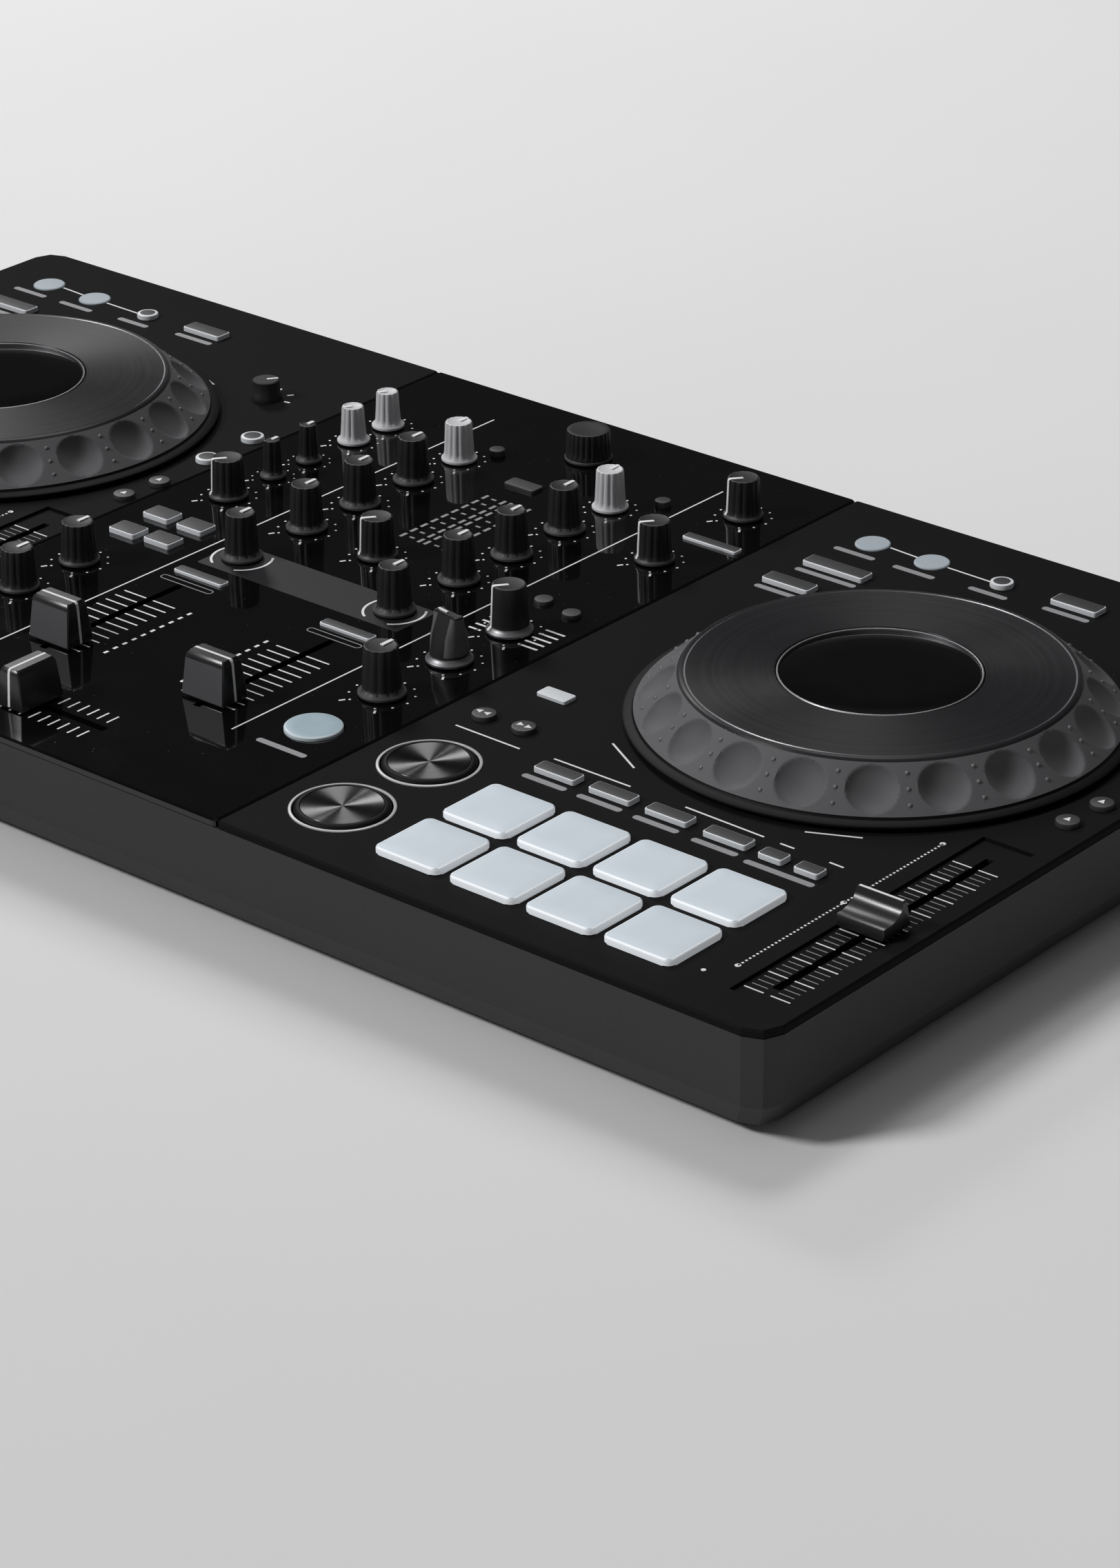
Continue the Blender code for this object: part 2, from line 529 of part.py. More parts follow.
def jog_wheel(deck, finish):
    """A hollow wheel: flat plate, cone side, flared skirt, and a hub that turns on the display's post."""
    x, y = deck_places(deck)["jog"]
    bore = DISPLAY_POST_RADIUS + RUN_GAP
    hub = bore + JOG_HUB_WALL
    well = DISPLAY_RADIUS + RUN_GAP
    well_floor = JOG_HEIGHT - DISPLAY_THICKNESS - RUN_GAP
    ceiling = well_floor - JOG_SHELL
    profile = [(JOG_PLATE_RADIUS, JOG_HEIGHT), (JOG_PLATE_RADIUS + JOG_RIM_DROP, JOG_HEIGHT - JOG_RIM_DROP),
               (JOG_CONE_RADIUS, JOG_CONE_FOOT), (JOG_SKIRT_RADIUS, JOG_SKIRT_HEIGHT),
               (JOG_SKIRT_RADIUS, JOG_FLOAT), (JOG_CONE_RADIUS - JOG_SHELL, JOG_FLOAT),
               (JOG_PLATE_RADIUS - JOG_SHELL, ceiling),
               (hub, ceiling), (hub, RUN_GAP), (bore, RUN_GAP), (bore, well_floor), (well, well_floor),
               (well, JOG_HEIGHT)]
    shape = turned(profile, JOG_STEPS, closed=True)
    wheel = piece(f"{deck['name']}_jog_wheel", shape, finish, (x, y, PANEL_TOP))
    combine(wheel, "DIFFERENCE", dimple_cutters(), f"{deck['name']}_jog_dimples")


def pads(deck, finish):
    lip_top = PANEL_UNDER - PANEL_TOP - SEAT_GAP
    side = PAD_SIDE
    body = rounded_rectangle(side, side, PAD_CORNER, PAD_CORNER_STEPS)
    crown_side = side - 2 * PAD_CHAMFER
    lip_side = side + 2 * PAD_LIP
    crown = rounded_rectangle(crown_side, crown_side, PAD_CORNER - PAD_CHAMFER, PAD_CORNER_STEPS)
    lip = rounded_rectangle(lip_side, lip_side, PAD_CORNER, PAD_CORNER_STEPS)
    outlines = [(crown, PAD_RISE), (body, PAD_RISE - PAD_CHAMFER), (body, lip_top), (lip, lip_top),
                (lip, lip_top - PAD_LIP_THICKNESS)]
    for number, (x, y) in enumerate(deck_places(deck)["pads"], start=1):
        piece(f"{deck['name']}_pad_{number}", loft(outlines), finish, (x, y, PANEL_TOP))


def round_button(name, radius, place, finish):
    """A push button with a shallow dished top, held up by a lip under the panel."""
    lip_top = PANEL_UNDER - PANEL_TOP - SEAT_GAP
    rim = BUTTON_RIM_SHARE * radius
    lip = radius + PAD_LIP
    lip_under = lip_top - PAD_LIP_THICKNESS
    profile = [(0, TRANSPORT_RISE - TRANSPORT_DISH), (rim, TRANSPORT_RISE),
               (radius, TRANSPORT_RISE - PAD_CHAMFER), (radius, lip_top), (lip, lip_top), (lip, lip_under),
               (0, lip_under)]
    piece(name, turned(profile, ROUND_STEPS), finish, (*place, PANEL_TOP))


def knob(name, place, kind, finish, turn=0.0):
    """A knob with a flared flange, fluted where it has flutes, on a shaft that ends just over the board."""
    height, top, waist, flange, flute_count = kind
    steps = 2 * flute_count if flute_count else SMOOTH_STEPS
    fluted = (2, 3) if flute_count else ()
    skirt = KNOB_LIFT + FLANGE_THICKNESS
    end = SHAFT_END - PANEL_TOP
    profile = [(0, height), (top - KNOB_CHAMFER, height), (top, height - KNOB_CHAMFER),
               (waist, skirt + FLANGE_SLOPE), (flange, skirt), (flange, KNOB_LIFT), (SHAFT_RADIUS, KNOB_LIFT),
               (SHAFT_RADIUS, end), (0, end)]
    return piece(name, turned(profile, steps, fluted), finish, (*place, PANEL_TOP), turn)


def pointer_cheeks(kind):
    """Two sloping cutters that leave a narrow grip across a round knob."""
    height, _, waist, flange, _ = kind
    clear = 2 * flange
    above = height + POINTER_BLADE
    cheek = [(POINTER_BLADE / 2, above), (POINTER_BLADE / 2, height), (waist, POINTER_CHEEK_LOW),
             (clear, POINTER_CHEEK_LOW), (clear, above)]
    lie_along = Matrix(((1, 0, 0, 0), (0, 0, 1, 0), (0, 1, 0, 0), (0, 0, 0, 1)))
    cutters = []
    for side in (-1, 1):
        outline = [(side * across, up) for across, up in cheek]
        cutter = loft([(outline, -clear), (outline, clear)])
        bmesh.ops.transform(cutter, matrix=lie_along, verts=cutter.verts)
        cutters.append(cutter)
    return cutters


def slab_side(cap):
    """The side of a tall flat cap, with near-upright faces and a softened ridge."""
    _, length, height = cap
    foot = length / 2
    top = foot - CAP_LEAN
    return [(-foot, CAP_LIFT), (-top, height - CAP_EDGE), (-top + CAP_EDGE, height), (top - CAP_EDGE, height),
            (top, height - CAP_EDGE), (foot, CAP_LIFT)]


def scoop_side(cap):
    """The side of a low cap, with a lip in front, a scoop for the fingertip and a ridge behind it."""
    _, length, height = cap
    half = length / 2
    lip_back = -half + TEMPO_LIP_DEPTH
    ridge_back = half - TEMPO_RIDGE_SETBACK
    ridge_front = ridge_back - TEMPO_RIDGE
    scoop = []
    for step in range(SCOOP_STEPS + 1):
        angle = step / SCOOP_STEPS * math.pi / 2
        scoop.append((lip_back + (ridge_front - lip_back) * math.sin(angle),
                      height - (height - TEMPO_LIP) * math.cos(angle)))
    return [(-half, CAP_LIFT), (-half, TEMPO_LIP - CAP_EDGE), (-half + CAP_EDGE, TEMPO_LIP), *scoop,
            (ridge_back, height), (half, CAP_LIFT)]


def fader(name, cap, side, place, finish, turn=0.0):
    """A cap drawn along the width of its slot, on a lever that reaches down to just over the board."""
    width = cap[0]
    shape = loft([(side(cap), -width / 2), (side(cap), width / 2)])
    stand_up = Matrix(((0, 0, 1, 0), (1, 0, 0, 0), (0, 1, 0, 0), (0, 0, 0, 1)))
    bmesh.ops.transform(shape, matrix=stand_up, verts=shape.verts)
    made = piece(name, shape, finish, (*place, PANEL_TOP), turn)
    lever = bar(SLOT_WIDTH - 2 * RUN_GAP, LEVER_LENGTH, SHAFT_END - PANEL_TOP, CAP_LIFT + LEVER_SUNK)
    combine(made, "UNION", [lever], f"{name}_lever")


def faders(finish, cross_finish):
    channel_y = FRONT_EDGE + FRONT_TO_CHANNEL_SLOT + CHANNEL_REST
    fader("channel_1_fader", CHANNEL_CAP, slab_side, (CHANNEL_1_X, channel_y), finish)
    fader("channel_2_fader", CHANNEL_CAP, slab_side, (CHANNEL_2_X, channel_y), finish)
    cross_x = CENTRE_X - CROSS_TRAVEL / 2 + CROSS_REST
    cross_place = (cross_x, FRONT_EDGE + FRONT_TO_CROSSFADER)
    fader("crossfader", CROSS_CAP, slab_side, cross_place, cross_finish, turn=math.pi / 2)
    for deck in (LEFT_DECK, RIGHT_DECK):
        x, middle = deck_places(deck)["tempo"]
        rest = middle - TEMPO_TRAVEL / 2 + TEMPO_REST
        fader(f"{deck['name']}_tempo_fader", TEMPO_CAP, scoop_side, (x, rest), cross_finish)


def mixer_knobs(dark, light):
    for number, x in ((1, CHANNEL_1_X), (2, CHANNEL_2_X)):
        for label, row, kind in CHANNEL_ROWS:
            finish = light if kind is TRIM_KNOB else dark
            knob(f"channel_{number}_{label}_knob", (x, BACK_EDGE - row), kind, finish)
    for name, x, row, kind in STRIP_KNOBS:
        finish = light if kind is SMALL_KNOB else dark
        pointed = name == "effect_select_knob"
        made = knob(name, (x, BACK_EDGE - row), kind, finish, POINTER_REST if pointed else 0.0)
        if pointed:
            combine(made, "DIFFERENCE", pointer_cheeks(kind), "pointer_cheeks")


def main():
    clear_scene()
    case_black = material("case_black", (0.020, 0.020, 0.022), 0.55)
    deck_black = material("deck_black", (0.022, 0.022, 0.024), 0.50)
    gloss_black = material("gloss_black", (0.010, 0.010, 0.011), 0.12)
    board_green = material("board_green", (0.02, 0.12, 0.05), 0.50)
    socket_black = material("socket_black", (0.015, 0.015, 0.016), 0.45)
    jog_grey = material("jog_grey", (0.060, 0.060, 0.064), 0.45)
    glass_black = material("glass_black", (0.008, 0.008, 0.010), 0.05)
    pad_white = material("pad_white", (0.45, 0.50, 0.60), 0.45)
    button_dark = material("button_dark", (0.035, 0.035, 0.038), 0.30)
    lit_blue = material("lit_blue", (0.55, 0.68, 0.85), 0.35)
    knob_black = material("knob_black", (0.014, 0.014, 0.015), 0.40)
    knob_grey = material("knob_grey", (0.30, 0.31, 0.33), 0.45)
    cap_grey = material("cap_grey", (0.16, 0.165, 0.18), 0.40)

    bottom_case(case_black)
    rear_jack_plate(socket_black)
    main_board(board_green)
    deck_panel(LEFT_DECK, LEFT_EDGE, MIXER_LEFT, deck_black)
    deck_panel(RIGHT_DECK, MIXER_RIGHT, RIGHT_EDGE, deck_black)
    mixer_panel(gloss_black)
    for deck in (LEFT_DECK, RIGHT_DECK):
        places = deck_places(deck)
        jog_display(deck, glass_black)
        jog_wheel(deck, jog_grey)
        pads(deck, pad_white)
        for label in ("cue", "play"):
            round_button(f"{deck['name']}_{label}_button", TRANSPORT_RADIUS, places[label], button_dark)
    effect_place = (STRIP_RIGHT_X, BACK_EDGE - EFFECT_ON_ROW)
    round_button("effect_on_button", EFFECT_BUTTON_RADIUS, effect_place, lit_blue)
    mixer_knobs(knob_black, knob_grey)
    faders(cap_grey, knob_black)


main()
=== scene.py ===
# %% [markdown]
# # A two-deck music controller, dressed for its portrait
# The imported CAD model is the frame: its bodies turn and slide, and every piece below rides on one of
# them. We load it first and keep its box, because the finished look may not outgrow it.

# %% Load the frame
import math

import bmesh
import bpy
from mathutils import Matrix, Vector


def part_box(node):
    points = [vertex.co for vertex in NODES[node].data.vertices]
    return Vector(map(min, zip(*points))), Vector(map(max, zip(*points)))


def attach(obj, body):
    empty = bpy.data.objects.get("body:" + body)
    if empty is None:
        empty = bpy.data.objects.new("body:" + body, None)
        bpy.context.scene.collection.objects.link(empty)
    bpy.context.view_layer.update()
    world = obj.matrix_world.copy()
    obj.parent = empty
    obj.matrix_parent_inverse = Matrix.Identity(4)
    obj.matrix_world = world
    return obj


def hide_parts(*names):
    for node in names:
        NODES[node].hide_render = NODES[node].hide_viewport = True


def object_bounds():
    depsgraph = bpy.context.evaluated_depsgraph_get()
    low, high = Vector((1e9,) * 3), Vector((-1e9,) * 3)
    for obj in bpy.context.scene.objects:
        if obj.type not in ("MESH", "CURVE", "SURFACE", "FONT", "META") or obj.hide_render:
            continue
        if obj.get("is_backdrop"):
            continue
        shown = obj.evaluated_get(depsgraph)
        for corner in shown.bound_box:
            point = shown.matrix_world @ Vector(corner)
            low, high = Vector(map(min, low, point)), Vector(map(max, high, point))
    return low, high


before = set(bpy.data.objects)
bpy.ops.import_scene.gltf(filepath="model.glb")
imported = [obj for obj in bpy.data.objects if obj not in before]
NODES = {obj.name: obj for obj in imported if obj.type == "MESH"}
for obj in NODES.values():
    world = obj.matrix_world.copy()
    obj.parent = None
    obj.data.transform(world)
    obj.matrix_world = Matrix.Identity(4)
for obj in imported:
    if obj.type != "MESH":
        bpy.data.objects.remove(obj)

CAD_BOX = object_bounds()
MM = 0.001
PANEL_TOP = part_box("mixer_panel")[1].z
DRAWN_X = 4.7  # the drawings' X zero lies this many millimetres right of the frame's

# %% [markdown]
# ## One small class for all node trees
# A finish is a sum of patterns, so we want to write it as a sum. `Wire` wraps one socket; plus, minus,
# times and so on add a Math node and hand back its output. Every other node comes from `node`, which sets
# the node's own settings first and its sockets second. Geometry Nodes trees use the same class.

# %% Sockets as numbers
class Wire:
    """A socket of a node tree that takes part in Python sums."""

    def __init__(self, tree, socket=None):
        self.tree = tree
        self.socket = socket

    def node(self, kind, settings=None, values=None, output=0):
        made = self.tree.nodes.new(kind)
        for name, value in (settings or {}).items():
            if name == "stops":
                ramp = made.color_ramp.elements
                while len(ramp) < len(value):
                    ramp.new(1.0)
                for stop, (place, shade) in zip(ramp, value):
                    stop.position = place
                    stop.color = (shade, shade, shade, 1.0)
            elif name == "items":
                for _ in range(value - len(made.index_switch_items)):
                    made.index_switch_items.new()
            else:
                setattr(made, name, value)
        for key, value in (values or {}).items():
            if isinstance(value, Wire):
                self.tree.links.new(value.socket, made.inputs[key])
            else:
                made.inputs[key].default_value = value
        return Wire(self.tree, made.outputs[output])

    def out(self, name):
        return Wire(self.tree, self.socket.node.outputs[name])

    def maths(self, operation, first, second=0.0):
        return self.node("ShaderNodeMath", {"operation": operation}, {0: first, 1: second})

    def __add__(self, other):
        return self.maths("ADD", self, other)

    def __sub__(self, other):
        return self.maths("SUBTRACT", self, other)

    def __rsub__(self, other):
        return self.maths("SUBTRACT", other, self)

    def __mul__(self, other):
        return self.maths("MULTIPLY", self, other)

    def __truediv__(self, other):
        return self.maths("DIVIDE", self, other)

    def __rtruediv__(self, other):
        return self.maths("DIVIDE", other, self)

    def __pow__(self, other):
        return self.maths("POWER", self, other)

    __radd__ = __add__
    __rmul__ = __mul__

    def do(self, operation, other=0.0):
        return self.maths(operation, self, other)


print("sums on sockets are ready")

# %% [markdown]
# ## Patterns that the finishes share
# Moulded plastic, rubber and ink all have three layers of detail: broad blotches from handling, a fine
# grain from the mould, and a bump that makes the grain catch light. Object coordinates are metres on the
# real object, so a grain of half a millimetre stays half a millimetre on every piece.

# %% Pattern helpers
FINISHES = {}


def finish(name, constants, paint):
    """A material whose fixed values sit on the shader and whose patterns come from paint(board)."""
    made = bpy.data.materials.new(name)
    made.use_nodes = True
    shader = made.node_tree.nodes["Principled BSDF"]
    for socket, value in constants.items():
        shader.inputs[socket].default_value = value
    for socket, wire in paint(Wire(made.node_tree)).items():
        made.node_tree.links.new(wire.socket, shader.inputs[socket])
    FINISHES[name] = made


def blotches(board, size, detail):
    """Soft noise whose patches are about size millimetres across."""
    where = board.node("ShaderNodeTexCoord", output="Object")
    return board.node("ShaderNodeTexNoise",
                      values={"Vector": where, "Scale": 1 / (size * MM), "Detail": detail})


def cells(board, size):
    """Distance to the nearest of many random points, about size millimetres apart."""
    where = board.node("ShaderNodeTexCoord", output="Object")
    return board.node("ShaderNodeTexVoronoi", values={"Vector": where, "Scale": 1 / (size * MM)})


def blend(board, share, first, second):
    return board.node("ShaderNodeMix", {"data_type": "RGBA"}, {0: share, 6: (*first, 1), 7: (*second, 1)}, 2)


def tint(board, share, under, colour):
    """Lays a colour over a finished one, where share is 1."""
    return board.node("ShaderNodeMix", {"data_type": "RGBA"}, {0: share, 6: under, 7: (*colour, 1)}, 2)


def relief(board, height, depth):
    """A bump whose peaks stand depth millimetres high."""
    return board.node("ShaderNodeBump", values={"Height": height, "Distance": depth * MM, "Strength": 1.0})


def steep(board, value, low, high):
    """0 below low, 1 above high, and a ramp between."""
    return board.node("ShaderNodeMapRange", values={"Value": value, "From Min": low, "From Max": high})


def moulded(name, dark, light, rough=(0.4, 0.55), grain=0.5, depth=0.03, dust=0.0, **constants):
    """Plastic or rubber from a mould: blotches, grain, bump, and dust that settles in specks."""
    def paint(board):
        broad = blotches(board, 30, 3)
        fine = blotches(board, grain, 2)
        colour = blend(board, broad * 0.6 + fine * 0.4, dark, light)
        if dust:
            specks = steep(board, cells(board, 2.2), 0.07, 0.03) * dust
            colour = tint(board, specks, colour, (0.35, 0.35, 0.36))
        gap = rough[1] - rough[0]
        return {"Base Color": colour, "Roughness": (broad * 0.5 + fine * 0.5) * gap + rough[0],
                "Normal": relief(board, fine, depth)}
    finish(name, constants, paint)


print("helpers:", [f.__name__ for f in (finish, blotches, cells, blend, relief, moulded)])

# %% [markdown]
# ## Plastics, rubbers and inks
# The decks are matte charcoal with a fine spark-eroded grain, the case is coarser, the knobs are soft
# rubber, and the keys are milky plastic under a dark printed top. One function makes them all; only the
# colour, the scale of the grain and the range of the gloss differ.

# %% Moulded finishes
moulded("deck_shell", (0.0050, 0.0050, 0.0055), (0.0088, 0.0088, 0.0095), (0.58, 0.72), 0.45, 0.035, 0.06,
        **{"Specular IOR Level": 0.04})
moulded("case_shell", (0.012, 0.012, 0.013), (0.022, 0.022, 0.023), (0.55, 0.72), 0.9, 0.09, 0.06)
moulded("jog_rubber", (0.088, 0.088, 0.093), (0.120, 0.120, 0.125), (0.60, 0.72), 0.35, 0.02, 0.04,
        **{"Specular IOR Level": 0.2})
moulded("jog_skirt", (0.003, 0.003, 0.0034), (0.006, 0.006, 0.0065), (0.50, 0.62), 0.6, 0.015,
        **{"Specular IOR Level": 0.12})
moulded("jog_pip", (0.100, 0.100, 0.105), (0.135, 0.135, 0.140), (0.30, 0.42), 0.3, 0.01)
moulded("knob_rubber", (0.010, 0.010, 0.011), (0.018, 0.018, 0.019), (0.42, 0.56), 0.3, 0.02, 0.05,
        **{"Specular IOR Level": 0.3})
moulded("knob_ash", (0.50, 0.50, 0.52), (0.60, 0.60, 0.62), (0.42, 0.56), 0.3, 0.02)
moulded("knob_edge", (0.045, 0.045, 0.048), (0.075, 0.075, 0.079), (0.42, 0.55), 0.3, 0.015,
        **{"Specular IOR Level": 0.3})
moulded("cap_shell", (0.009, 0.009, 0.010), (0.016, 0.016, 0.017), (0.22, 0.36), 0.5, 0.012)
moulded("cap_face", (0.060, 0.060, 0.065), (0.088, 0.088, 0.094), (0.40, 0.54), 0.3, 0.02)
moulded("key_milk", (0.58, 0.60, 0.63), (0.70, 0.72, 0.74), (0.34, 0.46), 0.7, 0.01)
moulded("key_top", (0.020, 0.020, 0.022), (0.034, 0.034, 0.037), (0.42, 0.56), 0.3, 0.02)
moulded("disc_milk", (0.34, 0.39, 0.43), (0.42, 0.47, 0.51), (0.32, 0.44), 0.8, 0.008)
moulded("ring_satin", (0.40, 0.40, 0.41), (0.52, 0.52, 0.53), (0.26, 0.38), 0.4, 0.008)
moulded("ink_white", (0.66, 0.66, 0.67), (0.82, 0.82, 0.82), (0.48, 0.62), 0.4, 0.01)
moulded("ink_grey", (0.20, 0.20, 0.21), (0.28, 0.28, 0.29), (0.48, 0.62), 0.4, 0.01)
moulded("band_grey", (0.009, 0.009, 0.0105), (0.014, 0.014, 0.016), (0.45, 0.60), 0.5, 0.02,
        **{"Specular IOR Level": 0.2})
moulded("socket_shell", (0.010, 0.010, 0.011), (0.019, 0.019, 0.020), (0.38, 0.52), 0.6, 0.03)
moulded("foot_rubber", (0.014, 0.014, 0.014), (0.026, 0.026, 0.026), (0.62, 0.78), 0.8, 0.06)
moulded("socket_white", (0.60, 0.60, 0.58), (0.70, 0.70, 0.68), (0.35, 0.48), 0.5, 0.01)
moulded("socket_red", (0.42, 0.020, 0.018), (0.55, 0.032, 0.028), (0.35, 0.48), 0.5, 0.01)
print(len(FINISHES), "moulded finishes")

# %% [markdown]
# ## Gloss, glass and lit silicone
# The mixer panel is polished black, and its knobs stand on their own reflections. A mirror finish is only
# believable when it isn't perfect: faint wiping smears change the roughness, and a few specks of dust lie
# on top. The pads are lit from below, and the light leaves them mostly at their thin edges, so their glow
# follows the edge attribute.

# %% Gloss, glass and silicone
def gloss_paint(board):
    smear = blotches(board, 18, 4)
    specks = steep(board, cells(board, 4.5), 0.045, 0.02)
    colour = blend(board, smear, (0.0022, 0.0022, 0.0026), (0.0040, 0.0040, 0.0045))
    rough = steep(board, smear, 0.45, 0.75) * 0.05 + 0.035 + specks * 0.3
    return {"Base Color": tint(board, specks * 0.25, colour, (0.3, 0.3, 0.3)), "Roughness": rough}


def glass_paint(board):
    smear = blotches(board, 9, 5)
    colour = blend(board, smear, (0.0012, 0.0012, 0.0016), (0.0030, 0.0030, 0.0036))
    return {"Base Color": colour, "Roughness": steep(board, smear, 0.4, 0.8) * 0.07 + 0.02}


def pad_paint(board):
    cloud = blotches(board, 12, 2)
    grain = blotches(board, 0.4, 2)
    edge = board.node("ShaderNodeAttribute", {"attribute_name": "edge"}, output="Fac")
    colour = blend(board, cloud, (0.58, 0.65, 0.71), (0.66, 0.72, 0.78))
    # The thin edge is painted paler: painted light from below, shining through it.
    colour = tint(board, edge * 0.8, colour, (0.86, 0.89, 0.92))
    glow = blend(board, edge, (0.10, 0.11, 0.12), (0.86, 0.89, 0.92))
    return {"Base Color": colour, "Roughness": grain * 0.14 + 0.36, "Normal": relief(board, grain, 0.02),
            "Emission Color": glow}


def lens_paint(board):
    cloud = blotches(board, 5, 2)
    grain = blotches(board, 0.3, 2)
    edge = board.node("ShaderNodeAttribute", {"attribute_name": "edge"}, output="Fac")
    colour = blend(board, cloud, (0.30, 0.40, 0.46), (0.36, 0.46, 0.52))
    # The rim is painted paler all round: a painted highlight along the lens's edge.
    colour = tint(board, edge * 0.7, colour, (0.68, 0.74, 0.77))
    return {"Base Color": colour, "Roughness": grain * 0.12 + 0.30, "Normal": relief(board, grain, 0.008)}


finish("panel_gloss", {"Specular IOR Level": 0.45}, gloss_paint)
finish("display_glass", {"Specular IOR Level": 0.5}, glass_paint)
finish("pad_silicone", {"Specular IOR Level": 0.4, "Emission Strength": 0.22}, pad_paint)
finish("effect_lens", {"Specular IOR Level": 0.4}, lens_paint)
print("gloss, glass and silicone:", list(FINISHES)[-4:])

# %% [markdown]
# ## Turned and plated metal
# The transport buttons are faced on a lathe. The cut leaves fine rings, and the rings gather light into
# the bright wedges that turn as you walk round. The shader's own anisotropy does the same once it is given
# a quarter turn, and the rings are added as a bump. They need the distance to the button's middle; each
# round piece stores its own local coordinates in an attribute for this.

# %% Metals
def spun_paint(dark, light, pitch, depth, rough):
    def paint(board):
        local = board.node("ShaderNodeAttribute", {"attribute_name": "local"}, output="Vector")
        flat = board.node("ShaderNodeVectorMath", {"operation": "MULTIPLY"}, {0: local, 1: (1, 1, 0)})
        radius = board.node("ShaderNodeVectorMath", {"operation": "LENGTH"}, {0: flat}, "Value")
        rings = (radius * (2 * math.pi / (pitch * MM))).do("SINE") * 0.5 + 0.5
        streak = board.node("ShaderNodeTexNoise", {"noise_dimensions": "1D"},
                            {"W": radius, "Scale": 1 / (3 * pitch * MM), "Detail": 3.0})
        broad = blotches(board, 14, 3)
        return {"Base Color": blend(board, streak * 0.7 + broad * 0.3, dark, light),
                "Roughness": streak * 0.1 + broad * 0.08 + rough,
                "Normal": relief(board, rings * 0.5 + streak * 0.5, depth)}
    return paint


def plated_paint(dark, light, rough):
    def paint(board):
        fine = blotches(board, 0.8, 3)
        broad = blotches(board, 7, 2)
        return {"Base Color": blend(board, broad * 0.6 + fine * 0.4, dark, light),
                "Roughness": fine * 0.14 + rough, "Normal": relief(board, fine, 0.006)}
    return paint


finish("spun_metal", {"Metallic": 1.0, "Anisotropic": 1.0, "Anisotropic Rotation": 0.25},
       spun_paint((0.085, 0.085, 0.086), (0.135, 0.135, 0.136), 0.5, 0.0015, 0.24))
finish("jog_plate", {"Anisotropic": 0.7, "Anisotropic Rotation": 0.25, "Specular IOR Level": 0.2},
       spun_paint((0.011, 0.011, 0.0125), (0.017, 0.017, 0.019), 0.7, 0.005, 0.30))
finish("soft_ring", {"Metallic": 1.0}, plated_paint((0.22, 0.22, 0.23), (0.30, 0.30, 0.31), 0.40))
finish("screw_steel", {"Metallic": 1.0}, plated_paint((0.10, 0.10, 0.105), (0.19, 0.19, 0.195), 0.30))
finish("plug_gold", {"Metallic": 1.0}, plated_paint((0.62, 0.42, 0.15), (0.80, 0.58, 0.25), 0.18))
print("metals:", list(FINISHES)[-5:])

# %% [markdown]
# ## The board under the panels
# Only slivers of the circuit board show through the fader slots, but the piece is there. Copper tracks
# under green lacquer are a row of thin lines, broken up by noise so that they don't run everywhere.

# %% Board lacquer
def board_paint(board):
    where = board.node("ShaderNodeTexCoord", output="Object")
    across = board.node("ShaderNodeSeparateXYZ", values={0: where})
    lines = (across * (2 * math.pi / (2.4 * MM))).do("SINE")
    tracks = steep(board, lines, 0.55, 0.7) * steep(board, blotches(board, 14, 1), 0.45, 0.55)
    grain = blotches(board, 0.6, 2)
    green = blend(board, grain, (0.010, 0.075, 0.030), (0.016, 0.100, 0.042))
    return {"Base Color": tint(board, tracks * 0.7, green, (0.04, 0.19, 0.08)),
            "Roughness": grain * 0.1 + 0.32, "Normal": relief(board, tracks, 0.03)}


finish("board_lacquer", {}, board_paint)
for node, name in (("left_deck_panel", "deck_shell"), ("right_deck_panel", "deck_shell"),
                   ("mixer_panel", "panel_gloss"), ("bottom_case", "case_shell"),
                   ("rear_jack_plate", "socket_shell"), ("main_board", "board_lacquer")):
    for place in NODES[node].material_slots:
        place.material = FINISHES[name]
print("CAD nodes that stay, with new finishes: 6")

# %% [markdown]
# ## Shapes in millimetres over the panel
# Everything stands on the panels, so we model in millimetres with zero at the panel's top face and turn
# that into metres once, when a piece is made. A `Shell` gathers points, faces and the finish of each face.

# %% The shell of a piece
class Shell:
    """One piece in the making."""

    def __init__(self):
        self.points = []
        self.faces = []
        self.kinds = []

    def add(self, shape, kind=0, at=(0, 0, 0), turn=0.0):
        points, faces = shape
        start = len(self.points)
        c, s = math.cos(turn), math.sin(turn)
        self.points += [(at[0] + c * x - s * y, at[1] + s * x + c * y, at[2] + z) for x, y, z in points]
        self.faces += [[start + index for index in face] for face in faces]
        self.kinds += kind if isinstance(kind, list) else [kind] * len(faces)
        return self

    def make(self, name, finishes, slot, body="chassis", replaces=(), centre=None, edge=None, sharp=32):
        mesh = bpy.data.meshes.new(name)
        places = [((x + DRAWN_X) * MM, y * MM, PANEL_TOP + z * MM) for x, y, z in self.points]
        mesh.from_pydata(places, [], self.faces)
        mesh.polygons.foreach_set("material_index", self.kinds)
        shape = bmesh.new()
        shape.from_mesh(mesh)
        bmesh.ops.recalc_face_normals(shape, faces=shape.faces)
        shape.to_mesh(mesh)
        shape.free()
        for label in finishes:
            mesh.materials.append(FINISHES[label])
        mesh.shade_smooth()
        mesh.set_sharp_from_angle(angle=math.radians(sharp))
        if centre:
            local = mesh.attributes.new("local", "FLOAT_VECTOR", "POINT")
            local.data.foreach_set("vector", [value for x, y, z in self.points for value in
                                              ((x - centre[0]) * MM, (y - centre[1]) * MM, z * MM)])
        if edge:
            share = mesh.attributes.new("edge", "FLOAT", "POINT")
            share.data.foreach_set("value", [edge(*point) for point in self.points])
        made = bpy.data.objects.new(name, mesh)
        bpy.context.scene.collection.objects.link(made)
        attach(made, body)
        if replaces:
            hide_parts(*replaces)


print("a Shell gathers a piece, and make() hands it to the frame")

